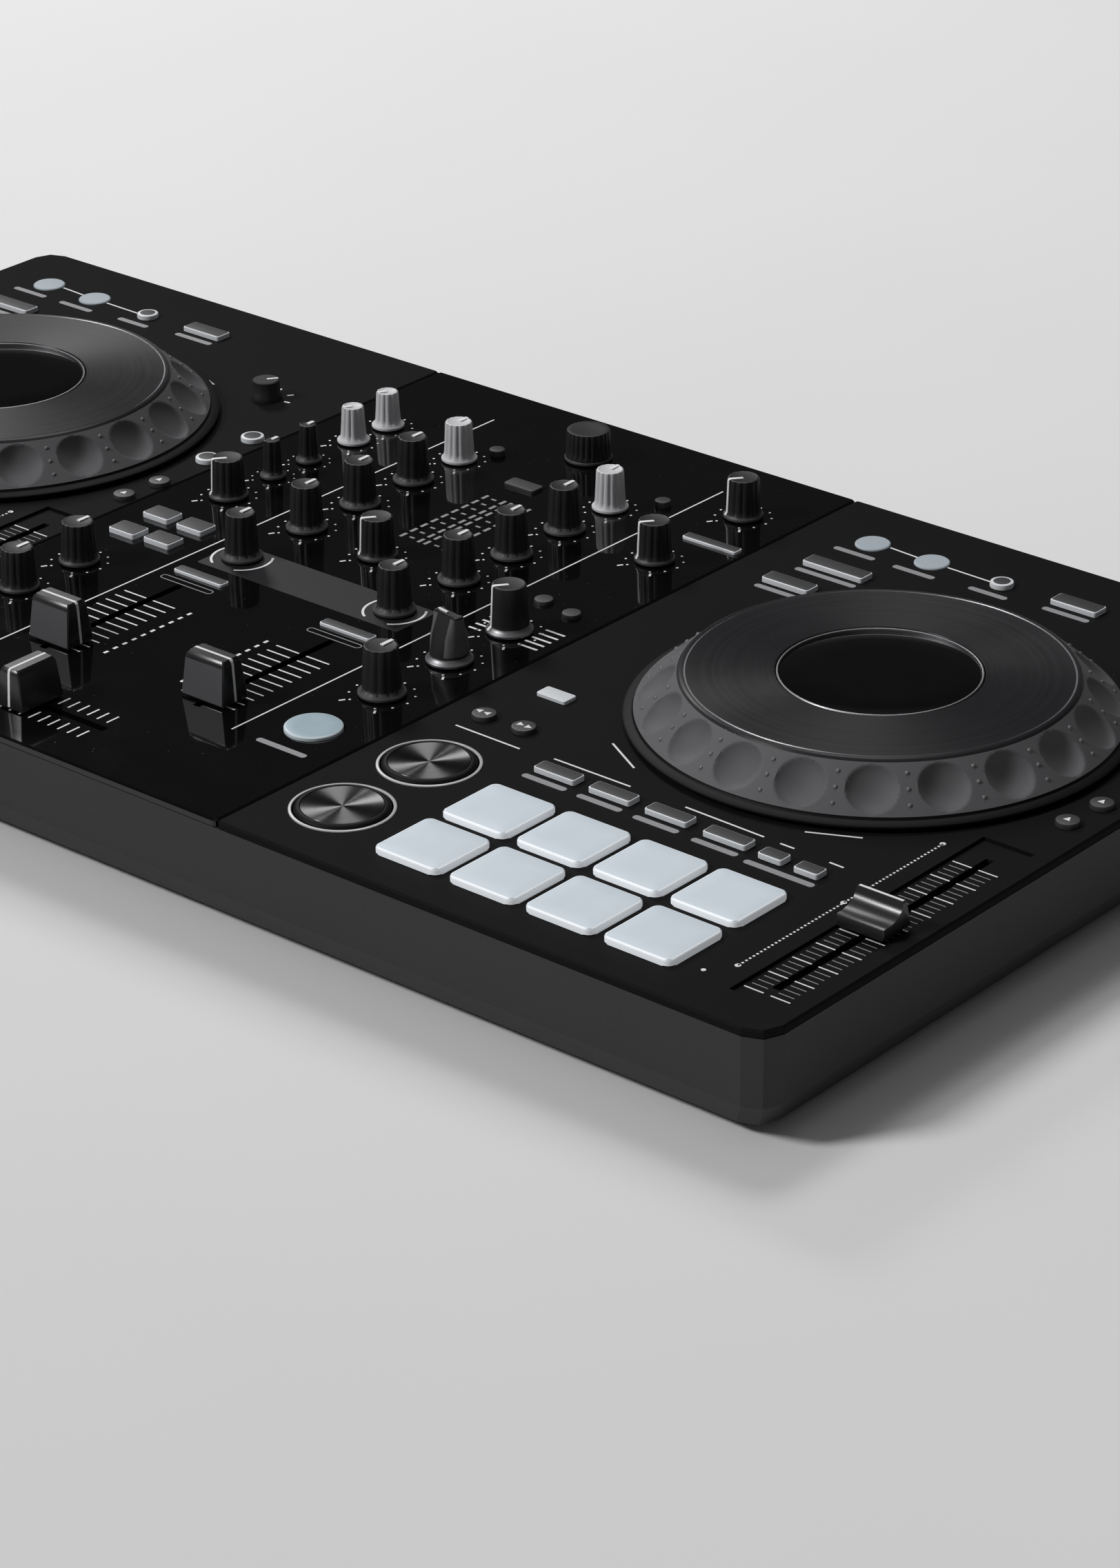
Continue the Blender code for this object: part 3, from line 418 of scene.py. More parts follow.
# %% [markdown]
# A few plain solids do for most pieces: a loft through outlines, a lathe, a cushion with a soft top edge, a
# flat ribbon along a path and a flat plate. Each returns points and faces. `arc` gives a ribbon a round
# path.

# %% Basic solids
def round_outline(radius, steps):
    return [(radius * math.cos(2 * math.pi * i / steps), radius * math.sin(2 * math.pi * i / steps))
            for i in range(steps)]


def soft_outline(width, depth, corner, steps=5):
    """A rectangle with rounded corners."""
    points = []
    for index, (sx, sy) in enumerate(((1, 1), (-1, 1), (-1, -1), (1, -1))):
        for step in range(steps + 1):
            angle = (index + step / steps) * math.pi / 2
            points.append((sx * (width / 2 - corner) + corner * math.cos(angle),
                           sy * (depth / 2 - corner) + corner * math.sin(angle)))
    return points


def loft(levels):
    """A closed solid through outlines of (points, height)."""
    points = [(x, y, height) for outline, height in levels for x, y in outline]
    count = len(levels[0][0])
    faces = [[level * count + i, level * count + (i + 1) % count,
              (level + 1) * count + (i + 1) % count, (level + 1) * count + i]
             for level in range(len(levels) - 1) for i in range(count)]
    top = (len(levels) - 1) * count
    return points, faces + [list(range(count)), list(range(top, top + count))]


def lathe(profile, steps, closed=False):
    """A profile of (radius, height) turned about Z; a radius of 0 becomes one point."""
    points, rings, faces = [], [], []
    for radius, height in profile:
        ring = [(0.0, 0.0)] if radius == 0 else round_outline(radius, steps)
        rings.append(list(range(len(points), len(points) + len(ring))))
        points += [(x, y, height) for x, y in ring]
    for upper, lower in zip(rings, rings[1:] + (rings[:1] if closed else [])):
        for i in range(steps):
            j = (i + 1) % steps
            corners = [upper[i % len(upper)], lower[i % len(lower)],
                       lower[j % len(lower)], upper[j % len(upper)]]
            faces.append(list(dict.fromkeys(corners)))
    return points, faces


def cushion(width, depth, corner, low, high, edge, crown=0.0, steps=4):
    """A block with round corners and a rounded top edge, and a little crown if asked."""
    levels = [(soft_outline(width, depth, corner), low)]
    for step in range(steps + 1):
        angle = step / steps * math.pi / 2
        inset = edge * (1 - math.cos(angle))
        levels.append((soft_outline(width - 2 * inset, depth - 2 * inset, max(corner - inset, 0.1)),
                       high - edge + edge * math.sin(angle)))
    if crown:
        inner = 0.55
        levels.append((soft_outline(width * inner, depth * inner, corner * inner), high + crown))
    return loft(levels)


def strip_faces(count):
    """The faces of a closed strip with four corners at each of its sections."""
    faces = [[4 * i + k, 4 * i + (k + 1) % 4, 4 * i + 4 + (k + 1) % 4, 4 * i + 4 + k]
             for i in range(count - 1) for k in range(4)]
    end = 4 * count
    return faces + [[0, 1, 2, 3], [end - 4, end - 3, end - 2, end - 1]]


def ribbon(path, width, low, high):
    """A flat strip of ink or trim along a path of (x, y)."""
    points = []
    for i, (x, y) in enumerate(path):
        before, after = path[max(i - 1, 0)], path[min(i + 1, len(path) - 1)]
        run = math.hypot(after[0] - before[0], after[1] - before[1])
        nx, ny = -(after[1] - before[1]) / run * width / 2, (after[0] - before[0]) / run * width / 2
        points += [(x + nx, y + ny, low), (x - nx, y - ny, low),
                   (x - nx, y - ny, high), (x + nx, y + ny, high)]
    return points, strip_faces(len(path))


def arc(radius, first, last, steps, at):
    """Points on a circle, angles in degrees from +X."""
    angles = [math.radians(first + (last - first) * i / steps) for i in range(steps + 1)]
    return [(at[0] + radius * math.cos(angle), at[1] + radius * math.sin(angle)) for angle in angles]


def flat_plate(outline, low, high):
    """A plate with straight sides."""
    return loft([(outline, low), (outline, high)])


print("solids:", [f.__name__ for f in (loft, lathe, cushion, ribbon, flat_plate)])

# %% [markdown]
# ## Geometry Nodes: turning a profile
# Knobs and jog wheels follow one rule: a profile swept round an axis, with a relief that repeats as it
# goes round, flutes on a knob and finger dimples on a wheel. A grid gives the rows and columns, an Index
# Switch picks each row's radius and height, and the relief is a sum of sines or squares. Sizes are named
# inputs, in millimetres like the shells.

# %% Tree helpers
def new_tree(name, sizes):
    tree = bpy.data.node_groups.new(name, "GeometryNodeTree")
    for label, value in sizes.items():
        kind = "NodeSocketInt" if isinstance(value, int) else "NodeSocketFloat"
        tree.interface.new_socket(label, in_out="INPUT", socket_type=kind).default_value = value
    tree.interface.new_socket("Geometry", in_out="OUTPUT", socket_type="NodeSocketGeometry")
    entry = tree.nodes.new("NodeGroupInput")
    return Wire(tree), {label: Wire(tree, entry.outputs[label]) for label in sizes}


def end_tree(board, shape, label):
    shape = board.node("GeometryNodeRealizeInstances", values={0: shape})
    shape = board.node("GeometryNodeSetMaterial", values={"Geometry": shape, "Material": FINISHES[label]})
    board.tree.links.new(shape.socket, board.tree.nodes.new("NodeGroupOutput").inputs[0])
    return board.tree


def grow(tree, **sizes):
    """Runs a tree with these sizes and returns the points and faces that it makes."""
    holder = bpy.data.objects.new(tree.name, bpy.data.meshes.new(tree.name))
    bpy.context.scene.collection.objects.link(holder)
    modifier = holder.modifiers.new(tree.name, "NODES")
    modifier.node_group = tree
    for item in tree.interface.items_tree:
        if item.in_out == "INPUT" and item.name in sizes:
            modifier[item.identifier] = sizes[item.name]
    mesh = bpy.data.meshes.new_from_object(holder.evaluated_get(bpy.context.evaluated_depsgraph_get()))
    shape = [tuple(v.co) for v in mesh.vertices], [list(p.vertices) for p in mesh.polygons]
    bpy.data.objects.remove(holder)
    bpy.data.meshes.remove(mesh)
    return shape


def turned_tree(name, sizes, rows, relief_of, label):
    """A tree that turns the rows of (radius, height, share) and pushes each point by its relief."""
    board, size = new_tree(name, sizes)
    profile = rows(size)
    grid = board.node("GeometryNodeMeshGrid", values={
        "Size X": 1.0, "Size Y": 1.0, "Vertices X": size["columns"], "Vertices Y": len(profile)})
    flat = board.node("ShaderNodeSeparateXYZ", values={0: board.node("GeometryNodeInputPosition")})
    angle = (flat + 0.5) * (2 * math.pi)
    row = ((flat.out("Y") + 0.5) * (len(profile) - 1)).do("ROUND")
    picked = []
    for part in range(3):
        values = {index + 1: line[part] for index, line in enumerate(profile)}
        picked.append(board.node("GeometryNodeIndexSwitch", {"data_type": "FLOAT", "items": len(profile)},
                                 {0: row, **values}))
    out, up = relief_of(size, angle, *picked)
    radius = picked[0] + out
    spot = board.node("ShaderNodeCombineXYZ", values={
        0: radius * angle.do("COSINE"), 1: radius * angle.do("SINE"), 2: picked[1] + up})
    shape = board.node("GeometryNodeSetPosition", values={"Geometry": grid, "Position": spot})
    shape = board.node("GeometryNodeMergeByDistance", values={"Geometry": shape, "Distance": 0.002})
    return end_tree(board, shape, label)


print("tree helpers are ready")

# %% [markdown]
# ## The jog wheels
# This is the piece that takes most skill. The top plate is a dark turned disc with a bright groove near its
# rim; the side is a rubber cone with twenty round finger dimples, and a dark skirt hides the bearing.
# A dimple is a bowl, a parabola made a little fuller, pushed into the cone along its normal: the arc to
# the nearest dimple's middle and the distance along the slope give how deep each point goes.

# %% Jog tree
JOG_SIZES = {"plate": 65.1, "cone": 80.1, "cone foot": 4.0, "skirt": 83.6, "skirt height": 2.6,
             "height": 17.0, "well": 34.2, "dimples": 20, "phase": -1.0, "dimple radius": 8.4,
             "dimple depth": 3.4, "columns": 801}
CONE_ROWS = 34
FAR = 99.0  # given to the rows off the cone, so that no dimple reaches them


def jog_rows(size):
    plate, cone, foot, skirt, low, top, well = (size[k] for k in (
        "plate", "cone", "cone foot", "skirt", "skirt height", "height", "well"))
    groove = plate - 1.6
    rows = [(well, 1.3, FAR), (well, top - 0.3, FAR), (well + 0.3, top, FAR), (plate * 0.6, top, FAR),
            (plate * 0.8, top, FAR), (groove - 0.35, top, FAR), (groove - 0.15, top - 0.3, FAR),
            (groove + 0.15, top - 0.3, FAR), (groove + 0.35, top, FAR), (plate - 0.3, top, FAR),
            (plate + 0.3, top - 0.25, FAR), (plate + 0.7, top - 0.75, FAR)]
    run, fall = cone - plate - 0.9, top - foot - 0.9
    slope = (run * run + fall * fall) ** 0.5
    for step in range(CONE_ROWS + 1):
        share = step / CONE_ROWS
        rows.append((plate + 0.9 + run * share, top - 0.9 - fall * share, slope * (share - 0.5)))
    return rows + [(cone + 0.1, foot - 0.4, FAR), (cone + 0.5, low + 0.5, FAR), (skirt - 0.5, low, FAR),
                   (skirt, low - 0.4, FAR), (skirt, 1.6, FAR), (skirt - 0.4, 1.3, FAR), (well, 1.3, FAR)]


def dimple_relief(size, angle, radius, height, along):
    run = size["cone"] - size["plate"]
    rise = size["height"] - size["cone foot"]
    length = (run * run + rise * rise) ** 0.5
    pitch = 2 * math.pi / size["dimples"]
    turn = (angle - size["phase"] * (math.pi / 180)) / pitch
    across = (turn - turn.do("ROUND")) * pitch * radius
    cup = 1 - (across * across + along * along) / (size["dimple radius"] * size["dimple radius"])
    depth = cup.do("MAXIMUM", 0.0) ** 0.8 * size["dimple depth"] * -1
    return depth * rise / length, depth * run / length


JOG_TREE = turned_tree("jog_wheel", JOG_SIZES, jog_rows, dimple_relief, "jog_rubber")
JOG_SHAPE = grow(JOG_TREE)
print("jog wheel:", len(JOG_SHAPE[1]), "faces")

# %% [markdown]
# Between two dimples sit three small pips in a row down the slope. They repeat 60 times on a wheel, so a
# second tree scatters them: the point's number says which gap and which of the three places it takes.

# %% Pips and the finished wheels
def pip_tree():
    board, size = new_tree("jog_pips", {
        "gaps": 20, "phase": 8.0, "middle radius": 72.75, "middle height": 9.85, "run": 4.15, "rise": 3.6,
        "pip radius": 0.9})
    number = board.node("GeometryNodeInputIndex")
    gap = (number / 3.0).do("FLOOR")
    place = number - gap * 3.0 - 1.0
    angle = (gap / size["gaps"]) * (2 * math.pi) + size["phase"] * (math.pi / 180)
    radius = size["middle radius"] + place * size["run"]
    spot = board.node("ShaderNodeCombineXYZ", values={
        0: radius * angle.do("COSINE"), 1: radius * angle.do("SINE"),
        2: size["middle height"] - place * size["rise"]})
    points = board.node("GeometryNodePoints", values={"Count": size["gaps"] * 3.0, "Position": spot})
    pip = board.node("GeometryNodeMeshUVSphere",
                     values={"Segments": 10, "Rings": 6, "Radius": size["pip radius"]})
    many = board.node("GeometryNodeInstanceOnPoints", values={"Points": points, "Instance": pip})
    return end_tree(board, many, "jog_pip")


JOGS = {"left": (-205.0, 25.1), "right": (208.4, 25.1)}
SKIRT_TOP, WELL_EDGE, RUBBER_FROM, GROOVE = 3.9, 34.3, 65.9, (63.0, 64.0)
SHAFT_END = -9.6  # how far posts, shafts and levers reach below the panel's top
PIPS = grow(pip_tree())


def jog_kind(shape):
    """Which finish each face of the wheel takes, from where it lies."""
    kinds = []
    for face in shape[1]:
        corners = [shape[0][index] for index in face]
        radius = sum(math.hypot(x, y) for x, y, _ in corners) / len(corners)
        height = sum(z for _, _, z in corners) / len(corners)
        if height < SKIRT_TOP or radius < WELL_EDGE:
            kinds.append(2)
        elif radius > RUBBER_FROM:
            kinds.append(0)
        else:
            kinds.append(3 if GROOVE[0] < radius < GROOVE[1] else 1)
    return kinds


KINDS = jog_kind(JOG_SHAPE)
for side, (x, y) in JOGS.items():
    wheel = Shell().add(JOG_SHAPE, KINDS, (x, y, 0)).add(PIPS, 4, (x, y, 0))
    wheel.make(f"{side}_wheel", ["jog_rubber", "jog_plate", "jog_skirt", "soft_ring", "jog_pip"], "jog_grey",
               f"{side}_jog", [f"{side}_jog_wheel"], centre=(x, y))
    glass = lathe([(0, 16.5), (20, 16.48), (32.6, 16.42), (32.9, 16.3), (32.9, 14.2), (0, 14.2)], 128)
    rim = lathe([(33.0, 16.5), (33.1, 16.9), (33.3, 17.0), (33.6, 16.95), (33.8, 16.7), (33.8, 14.0),
                 (33.0, 14.0)], 128, True)
    post = lathe([(0, 14.1), (7.6, 14.1), (7.6, SHAFT_END), (0, SHAFT_END)], 48)
    Shell().add(glass, 0, (x, y, 0)).add(rim, 1, (x, y, 0)).add(post, 2, (x, y, 0)).make(
        f"{side}_display", ["display_glass", "soft_ring", "socket_shell"], "glass_black", "chassis",
        [f"{side}_jog_display"], centre=(x, y))
print("wheels and displays:", list(JOGS))

# %% [markdown]
# ## The knobs
# Rubber knobs with flutes and a flared foot. The groove of a flute is a squared cosine, which keeps the
# ribs broad and the grooves narrow. Eight kinds come from one tree, each with its own height, radii and
# number of flutes.

# %% Knob tree
KNOB_SIZES = {"height": 17.5, "top": 5.4, "waist": 6.0, "flange": 7.5, "flutes": 12, "flute depth": 0.45,
              "columns": 97}
SHAFT_RADIUS = 1.7


def knob_rows(size):
    high, top, waist, flange = (size[k] for k in ("height", "top", "waist", "flange"))
    cap = [(0.0, high - 0.35, 0.0), (top * 0.7, high - 0.3, 0.0), (top - 0.75, high, 0.0),
           (top - 0.25, high - 0.15, 0.3)]
    body = [(top, high - 0.7, 1.0), ((top + waist) * 0.5, high * 0.58, 1.0), (waist, 4.0, 1.0),
            (waist + 0.1, 3.1, 0.7)]
    foot = [(waist * 0.6 + flange * 0.4, 2.2, 0.2), (flange - 0.3, 1.75, 0.0), (flange, 1.45, 0.0),
            (flange, 0.75, 0.0), (flange - 0.3, 0.5, 0.0)]
    shaft = [(SHAFT_RADIUS, 0.5, 0.0), (SHAFT_RADIUS, SHAFT_END, 0.0), (0.0, SHAFT_END, 0.0)]
    return cap + body + foot + shaft


def flute_relief(size, angle, radius, height, share):
    groove = ((angle * size["flutes"]).do("COSINE") * 0.5 + 0.5) ** 2.0
    return groove * share * size["flute depth"] * -1, 0.0


KNOB_TREE = turned_tree("fluted_knob", KNOB_SIZES, knob_rows, flute_relief, "knob_rubber")
# Height, top radius, waist radius, flange radius and number of flutes
KNOB_KINDS = {
    "tone": (17.5, 5.4, 6.0, 7.5, 12), "trim": (15.5, 5.0, 5.5, 6.6, 14), "small": (14.5, 4.1, 4.7, 6.1, 12),
    "thin": (15.0, 3.3, 3.6, 4.8, 8), "level": (15.5, 5.8, 6.2, 7.2, 14), "effect": (17.9, 6.0, 6.6, 8.2, 12),
    "smooth": (17.9, 6.0, 6.6, 8.2, 0), "browse": (12.0, 8.0, 8.3, 8.8, 24),
}
KNOB_SHAPES = {}
for kind, (high, top, waist, flange, flutes) in KNOB_KINDS.items():
    KNOB_SHAPES[kind] = grow(KNOB_TREE, **{
        "height": high, "top": top, "waist": waist, "flange": flange, "flutes": max(flutes, 1),
        "flute depth": KNOB_SIZES["flute depth"] if flutes else 0.0, "columns": max(8 * flutes, 64) + 1})
print("knob shapes:", {kind: len(shape[1]) for kind, shape in KNOB_SHAPES.items()})

# %% [markdown]
# The white mark on a knob is a raised strip: a short bar on top, or a line over the edge and down the side.
# A selector knob is the odd one out: its round body is cut away on both sides, which leaves a blade to
# grip. The smooth shape is squeezed towards the blade above a sloping plane, so the cheeks come out flat.

# %% Marks and the blade
def bladed(shape, half=1.7, low=4.6, high=17.9, reach=6.6):
    """Flattens a round knob into a blade along Y, between two sloping cheeks."""
    def limit(z):
        return half + (reach - half) * (high - z) / (high - low)
    points = [(max(-limit(z), min(limit(z), x)) if z > low else x, y, z) for x, y, z in shape[0]]
    return points, shape[1]


def top_bar(high, first, last, width):
    return ribbon([(0, first), (0, last)], width, high - 0.4, high + 0.06)


def side_line(kind, width=1.4):
    """A white line from the middle of the top, over the edge and down to the foot, towards +Y."""
    high, top, waist, flange, _ = KNOB_KINDS[kind]
    path = [(0.2, high - 0.28), (top - 0.75, high + 0.06), (top - 0.1, high - 0.12), (top + 0.08, high - 0.7),
            (waist + 0.1, 4.0), (waist + 0.16, 3.1), (flange - 0.15, 1.85)]
    points = []
    for out, up in path:
        points += [(-width / 2, out, up), (width / 2, out, up), (width / 2, out - 0.3, up - 0.3),
                   (-width / 2, out - 0.3, up - 0.3)]
    return points, strip_faces(len(path))


def knob_finish(shape, high, waist, blade):
    """The finish of each face: 0 for the body, 1 for the flared foot and 3 for a blade's cheeks."""
    kinds = []
    for face in shape[1]:
        corners = [shape[0][index] for index in face]
        radius = sum(math.hypot(x, y) for x, y, _ in corners) / len(corners)
        level = sum(z for _, _, z in corners) / len(corners)
        narrow = max(abs(x) for x, _, _ in corners) < radius * 0.93
        if radius > waist + 0.25 and 0.3 < level < 3:
            kinds.append(1)
        else:
            # A blade's cheeks take finish 3, a paler grey: a painted sheen on the flat cheeks.
            kinds.append(3 if blade and narrow and 4.7 < level < high - 0.8 else 0)
    return kinds


print("marks:", [f.__name__ for f in (top_bar, side_line, bladed)])

# %% [markdown]
# Every knob is named for the body that it turns with. Its place, kind and mark follow, and where the mark
# points at rest. Turned right down, a dial points to seven o'clock.

# %% Knobs in place
SEVEN_O_CLOCK = math.radians(150)
STRIP_LEFT, CHANNEL_1, CENTRE, CHANNEL_2, STRIP_RIGHT = -84.5, -42.5, -6.5, 29.5, 71.0
KNOBS = [(f"channel_{n}_{row}", x, y, "trim" if row == "trim" else "tone", "bar", 0.0)
         for n, x in ((1, CHANNEL_1), (2, CHANNEL_2))
         for row, y in (("trim", 103.2), ("high", 78.0), ("mid", 49.3), ("low", 21.3), ("colour", -12.0))]
KNOBS += [
    ("mic_1_level", STRIP_LEFT, 110.7, "small", "bar", SEVEN_O_CLOCK),
    ("mic_2_level", STRIP_LEFT, 91.7, "small", "bar", SEVEN_O_CLOCK),
    ("mic_high", STRIP_LEFT, 67.4, "thin", "bar", 0.0),
    ("mic_low", STRIP_LEFT, 48.3, "thin", "bar", 0.0),
    ("sampler_level", STRIP_LEFT, 25.0, "level", "line", SEVEN_O_CLOCK),
    ("headphone_mix", STRIP_LEFT, -50.3, "level", "bar", 0.0),
    ("headphone_level", STRIP_LEFT, -79.5, "level", "bar", 0.0),
    ("browse", CENTRE, 134.0, "browse", "none", 0.0),
    ("centre_level", CENTRE, 19.0, "level", "line", SEVEN_O_CLOCK),
    ("master_level", STRIP_RIGHT, 127.5, "level", "line", SEVEN_O_CLOCK),
    ("booth_level", STRIP_RIGHT, 77.6, "level", "line", SEVEN_O_CLOCK),
    ("effect_channel", STRIP_RIGHT, 0.2, "smooth", "line", SEVEN_O_CLOCK),
    ("effect_select", STRIP_RIGHT, -30.5, "smooth", "blade", math.radians(80)),
    ("effect_level", STRIP_RIGHT, -64.1, "effect", "bar", 0.0),
]
for name, x, y, kind, mark, turn in KNOBS:
    high, top, waist, _, _ = KNOB_KINDS[kind]
    blade = mark == "blade"
    shape = bladed(KNOB_SHAPES[kind]) if blade else KNOB_SHAPES[kind]
    knob = Shell().add(shape, knob_finish(shape, high, waist, blade), (x, y, 0), turn)
    if mark == "bar":
        knob.add(top_bar(high, top * 0.06, top - 0.25, min(1.45, top * 0.45)), 2, (x, y, 0), turn)
    elif mark == "line":
        knob.add(side_line(kind), 2, (x, y, 0), turn)
    elif blade:
        knob.add(top_bar(high, 0.6, 5.3, 0.9), 2, (x, y, 0), turn)
    pale = kind in ("trim", "small")
    base = "soft_ring" if kind == "smooth" else "knob_ash" if pale else "knob_edge"
    # The fourth finish, the grey jog rubber, is the painted sheen on a blade's cheeks.
    knob.make(f"{name}_cap", ["knob_ash" if pale else "knob_rubber", base, "ink_white", "jog_rubber"],
              "knob_grey" if pale else "knob_black", name, [f"{name}_knob"])
print(len(KNOBS), "knobs")

# %% [markdown]
# ## Pads, transport buttons and the lit effect button
# A pad is a milky silicone cushion with a soft edge; the edge is thin, and it is painted paler: painted light
# from below that shines through the thin edge. An attribute tells the finish where the edge is. Transport
# buttons are dished discs, faced on a lathe, in a thin bright ring that is set into the panel.

# %% Pads and buttons
DECKS = {"left": -413.4, "right": 0.0}
PAD_ROWS, PAD_FIRST, PAD_PITCH, PAD_WIDTH = (-105.95, -137.25), 158.4, 30.6, 26.5
for side, shift in DECKS.items():
    for number in range(8):
        x = PAD_FIRST + shift + PAD_PITCH * (number % 4)
        y = PAD_ROWS[number // 4]
        pad = Shell().add(cushion(PAD_WIDTH, PAD_WIDTH, 2.8, -3.0, 2.14, 0.8, 0.06), 0, (x, y, 0))
        pad.make(f"{side}_pad_cap_{number + 1}", ["pad_silicone"], "pad_white",
                 f"{side}_pad_key_{number + 1}", [f"{side}_pad_{number + 1}"], sharp=40,
                 edge=lambda a, b, c, x=x, y=y: float(max(abs(a - x), abs(b - y)) > PAD_WIDTH / 2 - 0.65))


def transport_button(x, y):
    spun = lathe([(0, 0.8), (5, 0.85), (10, 1.02), (13.1, 1.22), (13.3, 1.1), (13.3, 0.3), (0, 0.3)], 96)
    rim = lathe([(13.4, 1.05), (13.6, 1.27), (13.9, 1.3), (14.6, 1.1), (15.3, 0.6), (15.5, 0.2), (15.5, -3.0),
                 (13.4, -3.0)], 96, True)
    return Shell().add(spun, 0, (x, y, 0)).add(rim, 1, (x, y, 0))


TRANSPORT_X = 117.6
RING = lathe([(16.1, -0.2), (16.15, 0.3), (16.3, 0.45), (16.9, 0.45), (17.15, 0.3), (17.2, -0.2)], 96, True)
for side, shift in DECKS.items():
    for label, y in (("cue", -134.0), ("play", -93.0)):
        x = TRANSPORT_X + shift
        transport_button(x, y).make(f"{side}_{label}_disc", ["spun_metal", "jog_skirt"], "button_dark",
                                    f"{side}_{label}", [f"{side}_{label}_button"], centre=(x, y))
        Shell().add(RING, 0, (x, y, 0)).make(f"{side}_{label}_ring", ["ring_satin"], "knob_grey")

EFFECT_Y, LENS_RADIUS = -97.2, 9.8
lens = lathe([(0, 1.08), (6, 1.1), (8.9, 1.08), (9.4, 1.0), (9.75, 0.7), (LENS_RADIUS, 0.4),
              (LENS_RADIUS, -3.0), (0, -3.0)], 72)
Shell().add(lens, 0, (STRIP_RIGHT, EFFECT_Y, 0)).make(
    "effect_lens_cap", ["effect_lens"], "lit_blue", "effect_on", ["effect_on_button"],
    edge=lambda a, b, c: float(math.hypot(a - STRIP_RIGHT, b - EFFECT_Y) > LENS_RADIUS - 0.85))
print("16 pads, 4 transport buttons and the effect button")

# %% [markdown]
# ## Fader caps
# The channel and crossfader caps are upright slabs with a white line along the ridge and down both ends.
# They narrow upwards, so we stack outlines. The tempo cap is low, with a lip, a scoop for a
# fingertip and a ridge behind it: a side outline drawn along its width, with the ends drawn in a little so
# that the edges catch light.

# %% Caps
def drawn(side, width, soft):
    """A side outline of (y, z) drawn along X, with softened ends."""
    ys, zs = [y for y, _ in side], [z for _, z in side]
    my, mz = (min(ys) + max(ys)) / 2, (min(zs) + max(zs)) / 2
    shrink_y, shrink_z = 1 - soft / (max(ys) - my), 1 - soft / (max(zs) - mz)
    end = [(my + (y - my) * shrink_y, mz + (z - mz) * shrink_z) for y, z in side]
    half, bend = width / 2, width / 2 - soft * 0.7
    points, faces = loft([(end, -half), (side, -bend), (side, bend), (end, half)])
    return [(x, y, z) for y, z, x in points], faces


CAP_FOOT, CAP_LEAN, CAP_WIDE, CAP_NARROW, CAP_LOW = 6.1, 1.9, 9.6, 8.7, 0.8


def slab_cap(high):
    """An upright cap that narrows towards its ridge, as (x, y) outlines at rising heights."""
    levels = []
    for step, inset in ((0.0, 0.0), (0.5, 0.0), (0.86, 0.0), (0.95, 0.25), (1.0, 0.9)):
        half_x = CAP_WIDE + (CAP_NARROW - CAP_WIDE) * step - inset
        half_y = CAP_FOOT - CAP_LEAN * step - inset
        levels.append((soft_outline(2 * half_x, 2 * half_y, 0.7, 3), CAP_LOW + (high - CAP_LOW) * step))
    return loft(levels)


def slab_line(high):
    """The white line: along the ridge and down both ends."""
    leg = [(CAP_WIDE + 0.05, CAP_LOW + 0.4), (CAP_NARROW + 0.19, high - 0.14 * (high - CAP_LOW)),
           (CAP_NARROW - 0.1, high - 0.5), (CAP_NARROW - 0.75, high + 0.05)]
    path = [(-x, z) for x, z in leg] + leg[::-1]
    points = []
    for x, z in path:
        points += [(x, -0.5, z), (x, 0.5, z), (x * 0.95, 0.5, z - 0.5), (x * 0.95, -0.5, z - 0.5)]
    return points, strip_faces(len(path))


def face_plate(high, side):
    """A thin pale plate on the sloping front (-1) or back (1) face."""
    slope = CAP_LEAN / (high - CAP_LOW)
    wide, narrow, top = CAP_WIDE - 0.5, CAP_NARROW - 0.4, high - 2.3
    points = []
    for x, z in ((-wide, 1.2), (wide, 1.2), (narrow, top), (-narrow, top)):
        out = CAP_FOOT - slope * (z - CAP_LOW)
        points += [(x, side * (out + 0.07), z), (x, side * (out - 0.3), z)]
    walls = [[2 * i, 2 * ((i + 1) % 4), 2 * ((i + 1) % 4) + 1, 2 * i + 1] for i in range(4)]
    return points, [[0, 2, 4, 6], [1, 3, 5, 7]] + walls


print("cap shapes:", [f.__name__ for f in (slab_cap, slab_line, face_plate, drawn)])

# %% [markdown]
# Each cap sits on the lever that comes up through its slot, and rides on the fader's slider. Only the
# channel caps have pale faces.

# %% Caps in place
LEVER = flat_plate(soft_outline(2.2, 6.0, 0.4), SHAFT_END, 2.6)
CHANNEL_Y, CHANNEL_HIGH, CROSS_AT, CROSS_HIGH = -100.3, 16.0, (-15.5, -141.0, 0), 14.5
for number, x in ((1, CHANNEL_1), (2, CHANNEL_2)):
    at = (x, CHANNEL_Y, 0)
    cap = Shell().add(slab_cap(CHANNEL_HIGH), 0, at).add(slab_line(CHANNEL_HIGH), 1, at).add(LEVER, 0, at)
    for side in (-1, 1):
        cap.add(face_plate(CHANNEL_HIGH, side), 2, at)
    cap.make(f"channel_{number}_cap", ["cap_shell", "ink_white", "cap_face"], "cap_grey",
             f"channel_{number}_slider", [f"channel_{number}_fader"])
quarter = math.pi / 2
cross = Shell().add(slab_cap(CROSS_HIGH), 0, CROSS_AT, quarter)
cross.add(slab_line(CROSS_HIGH), 1, CROSS_AT, quarter).add(LEVER, 0, CROSS_AT, quarter)
cross.make("crossfader_cap", ["cap_shell", "ink_white"], "knob_black", "cross_slider", ["crossfader"])

